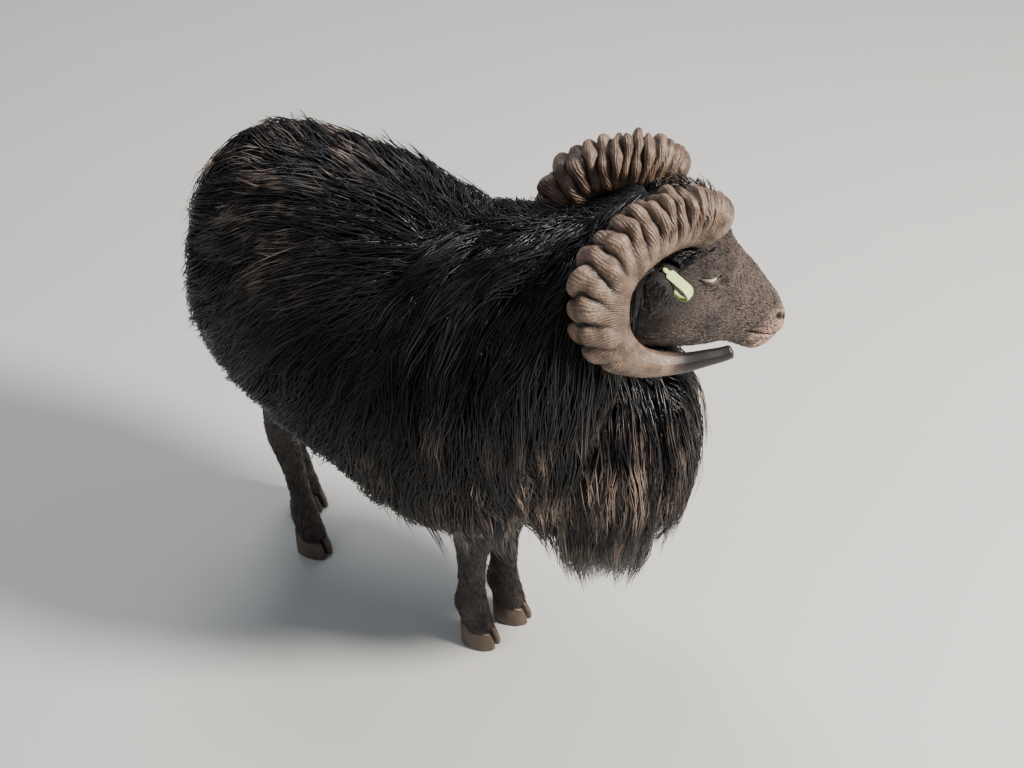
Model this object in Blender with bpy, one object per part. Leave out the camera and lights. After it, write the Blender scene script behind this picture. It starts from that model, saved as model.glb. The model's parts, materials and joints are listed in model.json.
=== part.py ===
"""A life-size standing Ouessant ram with curled horns, in metres: +X forward, +Y to its left, +Z up.

The trunk faces +X and the head is turned to the left. Every sub-part is one closed solid, and touching
solids keep a small gap. The fleece is a core with flat, tapered locks that follow the lie of the wool.
"""

import math

import bmesh
import bpy
import numpy as np

# Driving dimensions
LEG_TOP = 0.196  # the level where a front leg leaves the fleece
HIND_LEG_TOP = 0.226
GAP = 0.0003  # between solids that touch
PANEL = 0.6  # half size of a cutting block, larger than the ram

# Pose of the head: it looks to the ram's left and down the nose
HEAD_YAW = math.radians(52)
HEAD_PITCH = math.radians(38)
HEAD_LENGTH = 0.19  # poll to the tip of the nose
NOSE_TIP = np.array((0.335, 0.187, 0.41))

# The skin of the trunk from rump to chest: x, centre height, half width, height above and below the centre
TRUNK_SKIN = (
    (-0.194, 0.388, 0.010, 0.010, 0.010),
    (-0.188, 0.388, 0.036, 0.040, 0.036),
    (-0.170, 0.382, 0.060, 0.072, 0.058),
    (-0.136, 0.371, 0.080, 0.096, 0.074),
    (-0.078, 0.359, 0.095, 0.106, 0.082),
    (-0.010, 0.352, 0.102, 0.111, 0.086),
    (0.054, 0.348, 0.100, 0.115, 0.090),
    (0.104, 0.350, 0.090, 0.112, 0.096),
    (0.155, 0.345, 0.070, 0.090, 0.085),
    (0.181, 0.340, 0.040, 0.050, 0.050),
    (0.192, 0.340, 0.010, 0.010, 0.010),
)
# The tips of the fleece at the same stations
TRUNK_TIPS = (
    (-0.221, 0.382, 0.014, 0.014, 0.014),
    (-0.214, 0.380, 0.056, 0.070, 0.050),
    (-0.196, 0.374, 0.080, 0.124, 0.084),
    (-0.158, 0.364, 0.110, 0.168, 0.104),
    (-0.088, 0.350, 0.138, 0.190, 0.088),
    (-0.012, 0.342, 0.153, 0.190, 0.080),
    (0.058, 0.334, 0.157, 0.184, 0.092),
    (0.110, 0.330, 0.150, 0.172, 0.136),
    (0.178, 0.330, 0.125, 0.140, 0.125),
    (0.215, 0.325, 0.080, 0.090, 0.100),
    (0.232, 0.325, 0.015, 0.015, 0.015),
)
# The neck from chest to poll: centre, yaw, lean of the section, half width, height above and below
NECK_SKIN = (
    (0.090, 0.000, 0.362, 0, -22, 0.085, 0.100, 0.110),
    (0.145, 0.008, 0.405, 12, -14, 0.066, 0.088, 0.105),
    (0.195, 0.030, 0.458, 30, -2, 0.052, 0.070, 0.085),
    (0.236, 0.060, 0.512, 52, 12, 0.044, 0.052, 0.060),
)
NECK_TIPS = (
    (0.090, 0.000, 0.350, 0, -22, 0.150, 0.160, 0.150),
    (0.150, 0.008, 0.385, 12, -14, 0.140, 0.148, 0.176),
    (0.208, 0.032, 0.440, 30, -2, 0.115, 0.105, 0.200),
    (0.240, 0.066, 0.505, 52, 12, 0.070, 0.064, 0.090),
)
# The ruff before the chest and the rump are eggs: centre, and radii of skin and tips
RUFF_YAW = math.radians(20)
RUFF_CENTRE = np.array((0.222, 0.056, 0.296))
RUFF_SKIN = np.array((0.035, 0.050, 0.080))
RUFF_TIPS = np.array((0.104, 0.116, 0.142))
RUMP_CENTRE = np.array((-0.132, 0.0, 0.388))
RUMP_SKIN = np.array((0.058, 0.080, 0.078))
RUMP_TIPS = np.array((0.088, 0.126, 0.168))
SECTION_POWER_ABOVE = 2.0
SECTION_POWER_BELOW = 2.2  # the wool hangs like a curtain below the widest level
CORE_LEVEL = 0.45  # the core's share of the way from skin to tips

# The sloping cut between trunk and neck, and the cut between neck and head
CHEST_CUT_POINT = np.array((0.130, 0.0, 0.350))
CHEST_CUT_NORMAL = np.array((0.950, 0.050, 0.310))


def unit(vector):
    """The vector at length one."""
    vector = np.asarray(vector, float)
    return vector / np.linalg.norm(vector)


HEAD_FORWARD = np.array(
    (
        math.cos(HEAD_PITCH) * math.cos(HEAD_YAW),
        math.cos(HEAD_PITCH) * math.sin(HEAD_YAW),
        -math.sin(HEAD_PITCH),
    )
)
HEAD_LEFT = np.array((-math.sin(HEAD_YAW), math.cos(HEAD_YAW), 0.0))
HEAD_UP = np.cross(HEAD_FORWARD, HEAD_LEFT)
HEAD_ORIGIN = NOSE_TIP - HEAD_LENGTH * HEAD_FORWARD
LEVEL_FORWARD = np.array((math.cos(HEAD_YAW), math.sin(HEAD_YAW), 0.0))


def in_head(forward, left, up):
    """A point of the head's own frame, in the ram's frame."""
    return HEAD_ORIGIN + forward * HEAD_FORWARD + left * HEAD_LEFT + up * HEAD_UP


def smooth_between(rows, places):
    """Rows of numbers read smoothly at fractional row numbers, by a Catmull-Rom curve."""
    rows = np.asarray(rows, float)
    padded = np.vstack((2 * rows[0] - rows[1], rows, 2 * rows[-1] - rows[-2]))
    places = np.clip(np.atleast_1d(np.asarray(places, float)), 0, len(rows) - 1)
    first = np.minimum(places.astype(int), len(rows) - 2)
    t = (places - first)[:, None]
    before, start, end, after = (padded[first + i] for i in range(4))
    return 0.5 * (
        2 * start
        + (end - before) * t
        + (2 * before - 5 * start + 4 * end - after) * t**2
        + (3 * start - before - 3 * end + after) * t**3
    )


def oval(angle, half_width, above, below, power_above, power_below):
    """(across, up) on a section; the angle is 0 at the top and grows to the left."""
    s, c = math.sin(angle), math.cos(angle)
    power = power_above if c > 0 else power_below
    across = half_width * math.copysign(abs(s) ** (2 / power), s)
    up = (above if c > 0 else below) * math.copysign(abs(c) ** (2 / power), c)
    return across, up


def trunk_point(place, angle, level):
    """A point of the trunk: place counts stations from the rump, level runs from skin to tips."""
    skin, tips = smooth_between(TRUNK_SKIN, place)[0], smooth_between(TRUNK_TIPS, place)[0]
    x, height, half_width, above, below = skin + level * (tips - skin)
    across, up = oval(angle, half_width, above, below, SECTION_POWER_ABOVE, SECTION_POWER_BELOW)
    return np.array((x, across, height + up))


def neck_point(place, angle, level):
    """A point of the neck: place counts stations from the chest, level runs from skin to tips."""
    skin, tips = smooth_between(NECK_SKIN, place)[0], smooth_between(NECK_TIPS, place)[0]
    row = skin + level * (tips - skin)
    yaw, lean = math.radians(row[3]), math.radians(row[4])
    side = np.array((-math.sin(yaw), math.cos(yaw), 0.0))
    ahead = np.array((math.cos(yaw), math.sin(yaw), 0.0))
    up_axis = math.cos(lean) * np.array((0, 0, 1.0)) + math.sin(lean) * ahead
    across, up = oval(angle, row[5], row[6], row[7], SECTION_POWER_ABOVE, SECTION_POWER_BELOW)
    return row[:3] + across * side + up * up_axis


def clear_scene():
    """Removes what the startup file put in the scene."""
    for obj in list(bpy.data.objects):
        bpy.data.objects.remove(obj)


def collection_named(name):
    """A new collection in the scene."""
    made = bpy.data.collections.new(name)
    bpy.context.scene.collection.children.link(made)
    return made


def finish_of(name, colour, roughness):
    """A material with the part's colour."""
    made = bpy.data.materials.new(name)
    made.use_nodes = True
    shader = made.node_tree.nodes["Principled BSDF"]
    shader.inputs["Base Color"].default_value = (*colour, 1.0)
    shader.inputs["Roughness"].default_value = roughness
    shader.inputs["Metallic"].default_value = 0.0
    return made


def object_of(name, mesh_data, collection, finish=None):
    """An object in a collection, with a material if one is given."""
    obj = bpy.data.objects.new(name, mesh_data)
    collection.objects.link(obj)
    if finish:
        obj.data.materials.append(finish)
    return obj


def outward_mesh(name, shape):
    """A mesh from a closed bmesh, with every face turned out."""
    bmesh.ops.recalc_face_normals(shape, faces=shape.faces)
    made = bpy.data.meshes.new(name)
    shape.to_mesh(made)
    shape.free()
    if signed_volume(made) < 0:
        made.flip_normals()
    return made


def loft(name, rings, collection, finish=None):
    """A closed solid through rings of points; an end is flat, or a tip where its ring is one point."""
    shape = bmesh.new()
    rows = [[shape.verts.new(tuple(p)) for p in ring] for ring in rings]
    for row, following in zip(rows[:-1], rows[1:]):
        count = max(len(row), len(following))
        for i in range(count):
            j = (i + 1) % count
            corners = [row[i % len(row)], row[j % len(row)]]
            corners += [following[j % len(following)], following[i % len(following)]]
            corners = [v for k, v in enumerate(corners) if v not in corners[:k]]
            shape.faces.new(corners)
    for row in (rows[0], rows[-1]):
        if len(row) > 1:
            shape.faces.new(row)
    return object_of(name, outward_mesh(name, shape), collection, finish)


def signed_volume(mesh):
    """Six times the volume inside the mesh, negative if its faces point in."""
    mesh.calc_loop_triangles()
    points = np.empty(len(mesh.vertices) * 3)
    mesh.vertices.foreach_get("co", points)
    corners = np.empty(len(mesh.loop_triangles) * 3, int)
    mesh.loop_triangles.foreach_get("vertices", corners)
    return np.linalg.det(points.reshape(-1, 3)[corners.reshape(-1, 3)]).sum()


def ellipsoid(name, centre, radii, axes, collection, segments=16, rings=10):
    """A UV sphere stretched along three axes, which are rows of unit vectors."""
    shape = bmesh.new()
    bmesh.ops.create_uvsphere(shape, u_segments=segments, v_segments=rings, radius=1.0)
    for v in shape.verts:
        v.co = tuple(centre + sum(v.co[k] * radii[k] * np.asarray(axes[k]) for k in range(3)))
    return object_of(name, outward_mesh(name, shape), collection)


def hull(name, points, collection, finish=None):
    """The convex solid round some points."""
    shape = bmesh.new()
    verts = [shape.verts.new(tuple(p)) for p in points]
    result = bmesh.ops.convex_hull(shape, input=verts)
    spare = [v for v in result["geom_interior"] if isinstance(v, bmesh.types.BMVert)]
    bmesh.ops.delete(shape, geom=spare, context="VERTS")
    return object_of(name, outward_mesh(name, shape), collection, finish)


def block(name, point, normal, collection):
    """A large cube whose near face passes through the point and whose body lies along the normal."""
    ahead = unit(normal)
    side = unit(np.cross((0, 0, 1.0), ahead)) if abs(ahead[2]) < 0.9 else np.array((1.0, 0, 0))
    up = np.cross(ahead, side)
    shape = bmesh.new()
    bmesh.ops.create_cube(shape, size=2 * PANEL)
    for v in shape.verts:
        x, y, z = v.co
        v.co = tuple(point + (x + PANEL) * ahead + y * side + z * up)
    return object_of(name, outward_mesh(name, shape), collection)


def combine(obj, others, operation):
    """Joins or cuts the object with a list of closed meshes, applies it and removes them."""
    if operation == "DIFFERENCE" and len(others) > 1:
        for other in others:
            combine(obj, [other], operation)
        return
    group = bpy.data.collections.new("pieces")
    for other in others:
        group.objects.link(other)
    step = obj.modifiers.new("combine", "BOOLEAN")
    step.operation = operation
    step.operand_type = "COLLECTION"
    step.collection = group
    step.solver = "MANIFOLD"
    graph = bpy.context.evaluated_depsgraph_get()
    result = bpy.data.meshes.new_from_object(obj.evaluated_get(graph))
    obj.modifiers.remove(step)
    obj.data = result
    for other in others:
        bpy.data.objects.remove(other)
    bpy.data.collections.remove(group)


def keep_largest_surface(obj):
    """Drops every closed surface of the mesh but the largest."""
    shape = bmesh.new()
    shape.from_mesh(obj.data)
    bmesh.ops.triangulate(shape, faces=shape.faces)
    unseen = set(shape.verts)
    groups = []
    while unseen:
        front = [unseen.pop()]
        group = set(front)
        while front:
            for edge in front.pop().link_edges:
                for v in edge.verts:
                    if v in unseen:
                        unseen.discard(v)
                        group.add(v)
                        front.append(v)
        faces = {f for v in group for f in v.link_faces}
        size = sum(f.verts[0].co.dot(f.verts[1].co.cross(f.verts[2].co)) for f in faces)
        groups.append((size, group))
    groups.sort(key=lambda entry: entry[0])
    scraps = [v for _, group in groups[:-1] for v in group]
    bmesh.ops.delete(shape, geom=scraps, context="VERTS")
    shape.to_mesh(obj.data)
    shape.free()


def shade_round(obj, sharp_angle=40):
    """Smooth shading with sharp edges where faces meet steeply."""
    obj.data.shade_smooth()
    obj.data.set_sharp_from_angle(angle=math.radians(sharp_angle))


def section_rings(surface, places, level, sides):
    """Rings of a surface at the given places."""
    return [
        [surface(place, 2 * math.pi * i / sides, level) for i in range(sides)] for place in places
    ]


# Legs: rings of x, y, z, half length and half width, from the fleece down to the coronet
LEG_SIDES = 12
CORONET_HEIGHT = 0.026
CORONET_SLOPE = 0.35  # the coronet falls towards the toe's back by this slope
FRONT_LEG = (
    (-0.004, 0.004, LEG_TOP, 0.026, 0.021),
    (0.000, 0.002, 0.168, 0.021, 0.0185),
    (0.002, 0.001, 0.150, 0.0205, 0.0185),
    (0.003, 0.000, 0.136, 0.0195, 0.0175),
    (0.001, 0.000, 0.118, 0.0160, 0.0145),
    (0.000, 0.000, 0.080, 0.0150, 0.0135),
    (-0.001, 0.000, 0.060, 0.0175, 0.0155),
    (-0.001, 0.000, 0.048, 0.0190, 0.0165),
    (0.004, 0.000, 0.036, 0.0175, 0.0160),
    (0.008, 0.000, CORONET_HEIGHT, 0.0185, 0.0175),
)
HIND_LEG = (
    (-0.004, 0.010, HIND_LEG_TOP, 0.030, 0.020),
    (-0.013, 0.007, 0.192, 0.024, 0.0170),
    (-0.020, 0.004, 0.158, 0.0205, 0.0150),
    (-0.014, 0.002, 0.130, 0.0170, 0.0135),
    (-0.008, 0.001, 0.104, 0.0135, 0.0120),
    (-0.004, 0.000, 0.078, 0.0130, 0.0120),
    (-0.002, 0.000, 0.060, 0.0160, 0.0140),
    (-0.001, 0.000, 0.048, 0.0175, 0.0150),
    (0.004, 0.000, 0.036, 0.0165, 0.0150),
    (0.008, 0.000, CORONET_HEIGHT, 0.0175, 0.0165),
)
# Name, place of the foot, which side, turn of the foot
STANCE = {
    "front_right": (0.113, -0.022, -1, FRONT_LEG, 4),
    "front_left": (0.119, 0.027, 1, FRONT_LEG, 8),
    "hind_right": (-0.126, -0.021, -1, HIND_LEG, -3),
    "hind_left": (-0.183, 0.034, 1, HIND_LEG, 3),
}


def foot_frame(turn):
    """The toe's direction and the foot's left, for a foot turned by some degrees."""
    angle = math.radians(turn)
    ahead = np.array((math.cos(angle), math.sin(angle), 0.0))
    return ahead, np.array((-ahead[1], ahead[0], 0.0))


def leg_ring(foot, row, extra=0.0, sides=LEG_SIDES):
    """One ring of a leg, wider by extra."""
    x, y, side, _, turn = foot
    ahead, left = foot_frame(turn)
    forward, outward, height, half_length, half_width = row
    centre = np.array((x, y, height)) + forward * ahead + outward * side * left
    ring = []
    for i in range(sides):
        angle = 2 * math.pi * i / sides
        along, across = math.cos(angle), math.sin(angle)
        point = centre + (half_length + extra) * along * ahead + (half_width + extra) * across * left
        ring.append(point)
    return ring


def make_leg(name, foot, collection, finish):
    """A leg from the fleece to a sloping coronet."""
    rings = [leg_ring(foot, row) for row in foot[3]]
    ahead, _ = foot_frame(foot[4])
    middle = sum(rings[-1]) / LEG_SIDES
    for point in rings[-1]:
        point[2] += CORONET_SLOPE * float((point - middle) @ ahead) * -1
    obj = loft("leg_" + name, rings, collection, finish)
    shade_round(obj)
    return obj


CLAW_LENGTH = 0.040
CLAW_WIDTH = 0.0165
CLEFT = 0.003
# The sole of a claw, as shares of its length ahead of the leg's axis and of its width
CLAW_OUTLINE = (
    (0.62, 0.10),
    (0.58, 0.42),
    (0.40, 0.78),
    (0.12, 0.98),
    (-0.18, 0.98),
    (-0.36, 0.72),
    (-0.40, 0.30),
    (-0.34, 0.00),
    (0.10, 0.00),
    (0.45, 0.00),
)


def make_claw(name, foot, inner, collection, finish):
    """One of a foot's two claws: a wedge with a flat sole, a rounded outer wall and a sloping top."""
    x, y, side, rows, turn = foot
    ahead, left = foot_frame(turn)
    lateral = -side if inner else side
    centre = np.array((x, y, 0.0)) + rows[-1][0] * ahead
    levels = ((0.0, 1.0, 0.000), (0.45, 0.97, -0.001), (1.0, 0.86, -0.004))
    rings = []
    for share, size, back in levels:
        ring = []
        for along, across in CLAW_OUTLINE:
            forward = along * CLAW_LENGTH * size + back
            outward = CLEFT / 2 + across * CLAW_WIDTH * size
            point = centre + forward * ahead + outward * lateral * left
            top = CORONET_HEIGHT - CORONET_SLOPE * forward - GAP
            point[2] = share * top
            ring.append(point)
        rings.append(ring)
    obj = loft(name, rings, collection, finish)
    shade_round(obj)
    return obj


def make_legs(collection, skin, hoof):
    """Four legs with two claws each."""
    for name, foot in STANCE.items():
        make_leg(name, foot, collection, skin)
        make_claw("hoof_" + name + "_outer", foot, False, collection, hoof)
        make_claw("hoof_" + name + "_inner", foot, True, collection, hoof)


# Locks: shares of a lock's length, and its width, thickness and level there
LOCK_SHARES = (0.0, 0.28, 0.58, 0.84, 1.0)
LOCK_WIDTHS = (0.62, 1.00, 0.92, 0.55, 0.0)
LOCK_LEVELS = (0.20, 0.70, 0.90, 0.98, 1.0)
LOCK_THICKNESS = 0.0125
MOST_THROWN = 0.032  # a lock that something in its way would push further than this is left out


def ruff_point(azimuth, polar, level):
    """A point of the ruff: azimuth in units of 30 degrees from ahead, polar from top to bottom."""
    turn = math.radians(30 * azimuth) + RUFF_YAW
    radii = RUFF_SKIN + level * (RUFF_TIPS - RUFF_SKIN)
    ring = math.sin(polar)
    return RUFF_CENTRE + np.array(
        (radii[0] * ring * math.cos(turn), radii[1] * ring * math.sin(turn), radii[2] * math.cos(polar))
    )


def rump_point(azimuth, polar, level):
    """A point of the rump: azimuth in units of 30 degrees from behind, polar from top to bottom."""
    turn = math.radians(180 + 30 * azimuth)
    radii = RUMP_SKIN + level * (RUMP_TIPS - RUMP_SKIN)
    ring = math.sin(polar)
    return RUMP_CENTRE + np.array(
        (radii[0] * ring * math.cos(turn), radii[1] * ring * math.sin(turn), radii[2] * math.cos(polar))
    )


def keep_off(point, margin, spheres):
    """The point moved out of any sphere that it is nearer to than the margin."""
    for _ in range(3):
        for centre, radius in spheres:
            away = point - centre
            distance = float(np.linalg.norm(away))
            if distance < radius + margin:
                point = centre + away * ((radius + margin) / max(distance, 1e-6))
    return point


def grow_lock(surface, place, polar, length, width, back, droop, draw, spheres, planes, collection):
    """A flat lock from the core to its tip along the lie of the wool, or None if its way is barred."""
    here = surface(place, polar, 0.8)
    turn = 1.0 if polar >= 0 else -1.0
    down = (surface(place, polar + 0.02 * turn, 0.8) - here) / 0.02
    ahead = (surface(place + 0.02, polar, 0.8) - here) / 0.02
    lean = math.atan(back)
    step_polar = turn * length * math.cos(lean) / max(np.linalg.norm(down), 0.02)
    step_place = -length * math.sin(lean) / max(np.linalg.norm(ahead), 0.02)
    sway = draw.uniform(-0.006, 0.006, 3)
    path, facing, thrown = [], [], 0.0
    for share, level in zip(LOCK_SHARES, LOCK_LEVELS):
        at = place + share * step_place, polar + share * step_polar
        point = surface(*at, level + draw.uniform(-0.02, 0.02) * (share > 0.3))
        out = surface(*at, level + 0.2) - surface(*at, level)
        point = point + sway * share * share - np.array((0, 0, droop * length * share * share))
        reach = width * 0.5 * float(np.interp(share, LOCK_SHARES, LOCK_WIDTHS)) + 0.003
        straight = point
        point = keep_off(point, reach, spheres)
        thrown = max(thrown, float(np.linalg.norm(point - straight)))
        for origin, normal in planes:
            depth = float((point - origin) @ normal)
            if depth < reach:
                point = point + (reach - depth) * normal
        path.append(point)
        facing.append(unit(out))
    if thrown > MOST_THROWN:
        return None
    rings = []
    for k in range(len(LOCK_SHARES) - 1):
        along = unit(path[k + 1] - path[max(k - 1, 0)])
        normal = unit(facing[k] - (facing[k] @ along) * along)
        side = np.cross(along, normal)
        size = LOCK_WIDTHS[k]
        half_width, half_thick = size * width / 2, (0.35 + 0.65 * size) * LOCK_THICKNESS / 2
        rings.append(
            [
                path[k] + half_width * side,
                path[k] + half_thick * normal,
                path[k] - half_width * side,
                path[k] - half_thick * normal,
            ]
        )
    rings.append([path[-1]])
    return loft("lock", rings, collection)


def leg_spheres():
    """Spheres down each leg that locks keep off."""
    made = []
    for foot in STANCE.values():
        ahead, left = foot_frame(foot[4])
        for row in foot[3][:8]:
            centre = np.array((foot[0], foot[1], row[2] - 0.006)) + row[0] * ahead + row[1] * foot[2] * left
            made.append((centre, row[3] + 0.001))
    return made


def horn_spheres():
    """Spheres along both horns that locks keep off."""
    made = []
    for side in (-1, 1):
        for place in np.linspace(0, len(HORN_CURL) - 1, 22):
            centre, half, _ = horn_axis(place, side)
            made.append((centre, half + 0.0035))
    return made


def head_spheres():
    """Spheres through the head and ears that locks keep off."""
    made = []
    for forward in np.linspace(0.03, 0.18, 9):
        row = smooth_between(HEAD_SECTIONS, head_place(forward))[0]
        middle = (row[1] + row[3]) / 2
        made.append((in_head(forward, 0, middle), (row[1] - row[3]) / 2))
    for side in (-1, 1):
        root, axis, _, _ = ear_frame(side)
        for share in (0.2, 0.5, 0.8):
            made.append((root + axis * share * EAR_LENGTH, EAR_HALF_WIDTH + 0.003))
    return made


def upper_leg(foot, collection):
    """The stump inside the fleece that a leg hangs from."""
    top = foot[3][0]
    behind = foot[3] is HIND_LEG
    forward, swell = (0.030, 0.012) if behind else (-0.006, 0.018)
    rows = (
        (top[0] + forward, top[1] + 0.006, 0.325, top[3] + swell, top[4] + 0.014),
        (top[0] + 0.45 * forward, top[1] + 0.004, top[2] + 0.045, top[3] + 0.6 * swell, top[4] + 0.007),
        (top[0], top[1], top[2] + GAP, top[3], top[4]),
    )
    return loft("stump", [leg_ring(foot, row) for row in rows], collection)


def leg_room(foot, collection):
    """A leg from its top down, grown by a clearance, to keep wool off it."""
    rows = [list(row) for row in foot[3]]
    rows[0][2] += GAP
    return loft("leg_room", [leg_ring(foot, row, 0.0012) for row in rows], collection)


# Tiers of trunk locks: degrees from the top, how far they lie back at the rump and at the shoulder, droop
TRUNK_TIERS = (
    (10, 1.6, 0.9, -0.06),
    (32, 0.9, 0.5, -0.02),
    (56, 0.5, 0.22, 0.00),
    (80, 0.36, 0.08, 0.04),
    (105, 0.26, 0.03, 0.08),
)
TRUNK_COLUMNS = 7
TRUNK_FIRST_PLACE, TRUNK_LAST_PLACE = 3.1, 7.6
TRUNK_LOCK = 0.125  # length
FAR_HEM = 0.72  # the left side's lower locks are this much shorter
TRUNK_LOCK_WIDTH = 0.060
RUMP_TIERS = (24, 52, 82)
RUMP_AZIMUTHS = (-2.5, -1.25, 0.0, 1.25, 2.5)


def trunk_locks(collection):
    """Locks of the flanks, back and shoulders, and of the rump."""
    draw = np.random.default_rng(11)
    spheres = leg_spheres()
    planes = [(CHEST_CUT_POINT, -unit(CHEST_CUT_NORMAL))]
    locks = []
    for tier, (degrees, back_behind, back_ahead, droop) in enumerate(TRUNK_TIERS):
        for column in range(TRUNK_COLUMNS):
            share = (column + 0.5 * (tier % 2)) / (TRUNK_COLUMNS - 0.5)
            place = TRUNK_FIRST_PLACE + share * (TRUNK_LAST_PLACE - TRUNK_FIRST_PLACE)
            for side in (-1, 1):
                polar = side * math.radians(degrees + draw.uniform(-4, 4))
                at = place + draw.uniform(-0.12, 0.12)
                root = trunk_point(at, polar, 0.5)
                if (root - CHEST_CUT_POINT) @ unit(CHEST_CUT_NORMAL) > -0.010:
                    continue
                back = back_behind + share * (back_ahead - back_behind)
                length = TRUNK_LOCK * draw.uniform(0.88, 1.12) * (0.78 if degrees > 100 else 1.0)
                length *= FAR_HEM if side > 0 and degrees > 70 else 1.0
                width = TRUNK_LOCK_WIDTH * draw.uniform(0.88, 1.12)
                locks.append(
                    grow_lock(
                        trunk_point, at, polar, length, width, back, droop, draw, spheres, planes, collection
                    )
                )
    behind = spheres + tail_spheres()
    for tier, degrees in enumerate(RUMP_TIERS):
        for azimuth in RUMP_AZIMUTHS:
            at = azimuth + 0.35 * (tier % 2) + draw.uniform(-0.1, 0.1)
            polar = math.radians(degrees + draw.uniform(-4, 4))
            length = 0.105 * draw.uniform(0.9, 1.1)
            locks.append(
                grow_lock(rump_point, at, polar, length, 0.052, 0.0, 0.02, draw, behind, planes, collection)
            )
    return [lock for lock in locks if lock]


# The tail hangs from its root along its axis
TAIL_ROOT = np.array((-0.2300, 0.0, 0.416))
TAIL_AXIS = unit((-0.12, 0.0, -0.99))
TAIL_BEND = (  # along, ahead, half width, half thickness
    (0.000, 0.000, 0.018, 0.0090),
    (0.020, 0.000, 0.022, 0.0100),
    (0.050, 0.002, 0.023, 0.0100),
    (0.080, 0.008, 0.020, 0.0090),
    (0.105, 0.018, 0.013, 0.0070),
    (0.120, 0.026, 0.004, 0.0030),
)


def tail_spheres():
    """Spheres down the tail that locks keep off."""
    return [
        (TAIL_ROOT + along * TAIL_AXIS + np.array((ahead, 0.0, 0.0)), half_width * 0.8)
        for along, ahead, half_width, _ in TAIL_BEND[:-1]
    ]


def make_torso(collection, wool):
    """The trunk with its fleece, cut from the neck by a sloping plane."""
    places = np.linspace(0, len(TRUNK_SKIN) - 1, 16)
    obj = loft("torso", section_rings(trunk_point, places, CORE_LEVEL, 20), collection, wool)
    stumps = [upper_leg(foot, collection) for foot in STANCE.values()]
    root = tail_rings()[0]
    inside = [p + np.array((0.060, 0.0, 0.004)) for p in root]
    stumps.append(loft("tail_head", [inside, [p - GAP * TAIL_AXIS for p in root]], collection))
    combine(obj, trunk_locks(collection), "UNION")
    combine(obj, [leg_room(foot, collection) for foot in STANCE.values()], "DIFFERENCE")
    combine(obj, [tail_room(collection)], "DIFFERENCE")
    combine(obj, stumps, "UNION")
    cut = block("cut", CHEST_CUT_POINT - GAP / 2 * unit(CHEST_CUT_NORMAL), CHEST_CUT_NORMAL, collection)
    combine(obj, [cut], "DIFFERENCE")
    keep_largest_surface(obj)
    shade_round(obj)
    return obj


def tail_rings():
    """Rings of the tail, which hangs clear of the rump."""
    side = np.array((0, 1.0, 0))
    front = np.cross(TAIL_AXIS, side)
    rings = []
    for along, ahead, half_width, half_thick in TAIL_BEND:
        centre = TAIL_ROOT + along * TAIL_AXIS + np.array((ahead, 0.0, 0.0))
        rings.append(
            [
                centre + half_width * math.cos(a) * side + half_thick * math.sin(a) * front
                for a in np.linspace(0, 2 * math.pi, 13)[:-1]
            ]
        )
    return rings


# The line between neck and head, from the poll to the throat, in the head's frame
HEAD_CUT_POINT = in_head(0.022, 0.0, -0.012)
HEAD_CUT_NORMAL = 0.945 * HEAD_FORWARD + 0.329 * HEAD_UP


# Rings of the space kept for the head: ahead of the cut, half width, below and above
HEAD_ROOM = ((0.0, 0.070, 0.108, 0.090), (0.05, 0.070, 0.1035, 0.090), (0.22, 0.070, 0.090, 0.090))


def ear_room(side, collection):
    """The hollow in the wool that an ear hangs in."""
    root, axis, width, opening = ear_frame(side)
    centre = root + axis * (0.5 * EAR_LENGTH)
    radii = (0.82 * EAR_LENGTH, 1.6 * EAR_HALF_WIDTH, 0.024)
    return ellipsoid("ear_room", centre, radii, (axis, width, opening), collection, 14, 10)


def head_room(collection):
    """The space kept for the head, from its cut forward and from under the jaw up."""
    rings = []
    for forward, half_width, below, above in HEAD_ROOM:
        centre = HEAD_CUT_POINT - GAP / 2 * unit(HEAD_CUT_NORMAL) + forward * HEAD_FORWARD
        if forward == 0.0:
            rise = unit(HEAD_UP - (HEAD_UP @ unit(HEAD_CUT_NORMAL)) * unit(HEAD_CUT_NORMAL))
        else:
            rise = HEAD_UP
        offset = -(HEAD_CUT_POINT - HEAD_ORIGIN) @ HEAD_UP
        rings.append(
            [
                centre + side * half_width * HEAD_LEFT + (offset + height) * rise
                for side, height in ((-1, -below), (1, -below), (1, above), (-1, above))
            ]
        )
    return loft("head_room", rings, collection)


def horn_room(side, collection, clearance):
    """A horn with its ridges, grown by a clearance, to part wool and skull from it."""
    last = len(HORN_CURL) - 1
    places = list(np.linspace(0, last, 27))
    rings = [horn_ring(place, side, 0.0, ridge_height(place) + clearance) for place in places]
    start, _, _ = horn_frame(0, side)
    end, _, _ = horn_frame(last, side)
    rings = [[p - clearance * start for p in rings[0]], *rings, [p + clearance * end for p in rings[-1]]]
    return loft("horn_room", rings, collection)


def tail_room(collection):
    """The tail grown by a clearance, to keep the rump's wool off it."""
    rings = []
    for ring in tail_rings():
        middle = sum(ring) / len(ring)
        rings.append([p + 0.0016 * unit(p - middle) for p in ring])
    return loft("tail_room", rings, collection)


# Tiers of neck locks: degrees from the top, lean back, length, droop
NECK_TIERS = (
    (12, 0.9, 0.085, 0.00),
    (42, 0.4, 0.110, 0.00),
    (74, 0.2, 0.125, 0.04),
    (108, 0.1, 0.088, 0.06),
)
NECK_COLUMNS = (0.35, 1.05, 1.75, 2.45)
RUFF_TIERS = ((46, 0.125), (76, 0.130), (108, 0.115))
RUFF_AZIMUTHS = (-3.1, -1.86, -0.62, 0.62, 1.86, 3.1)


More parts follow.
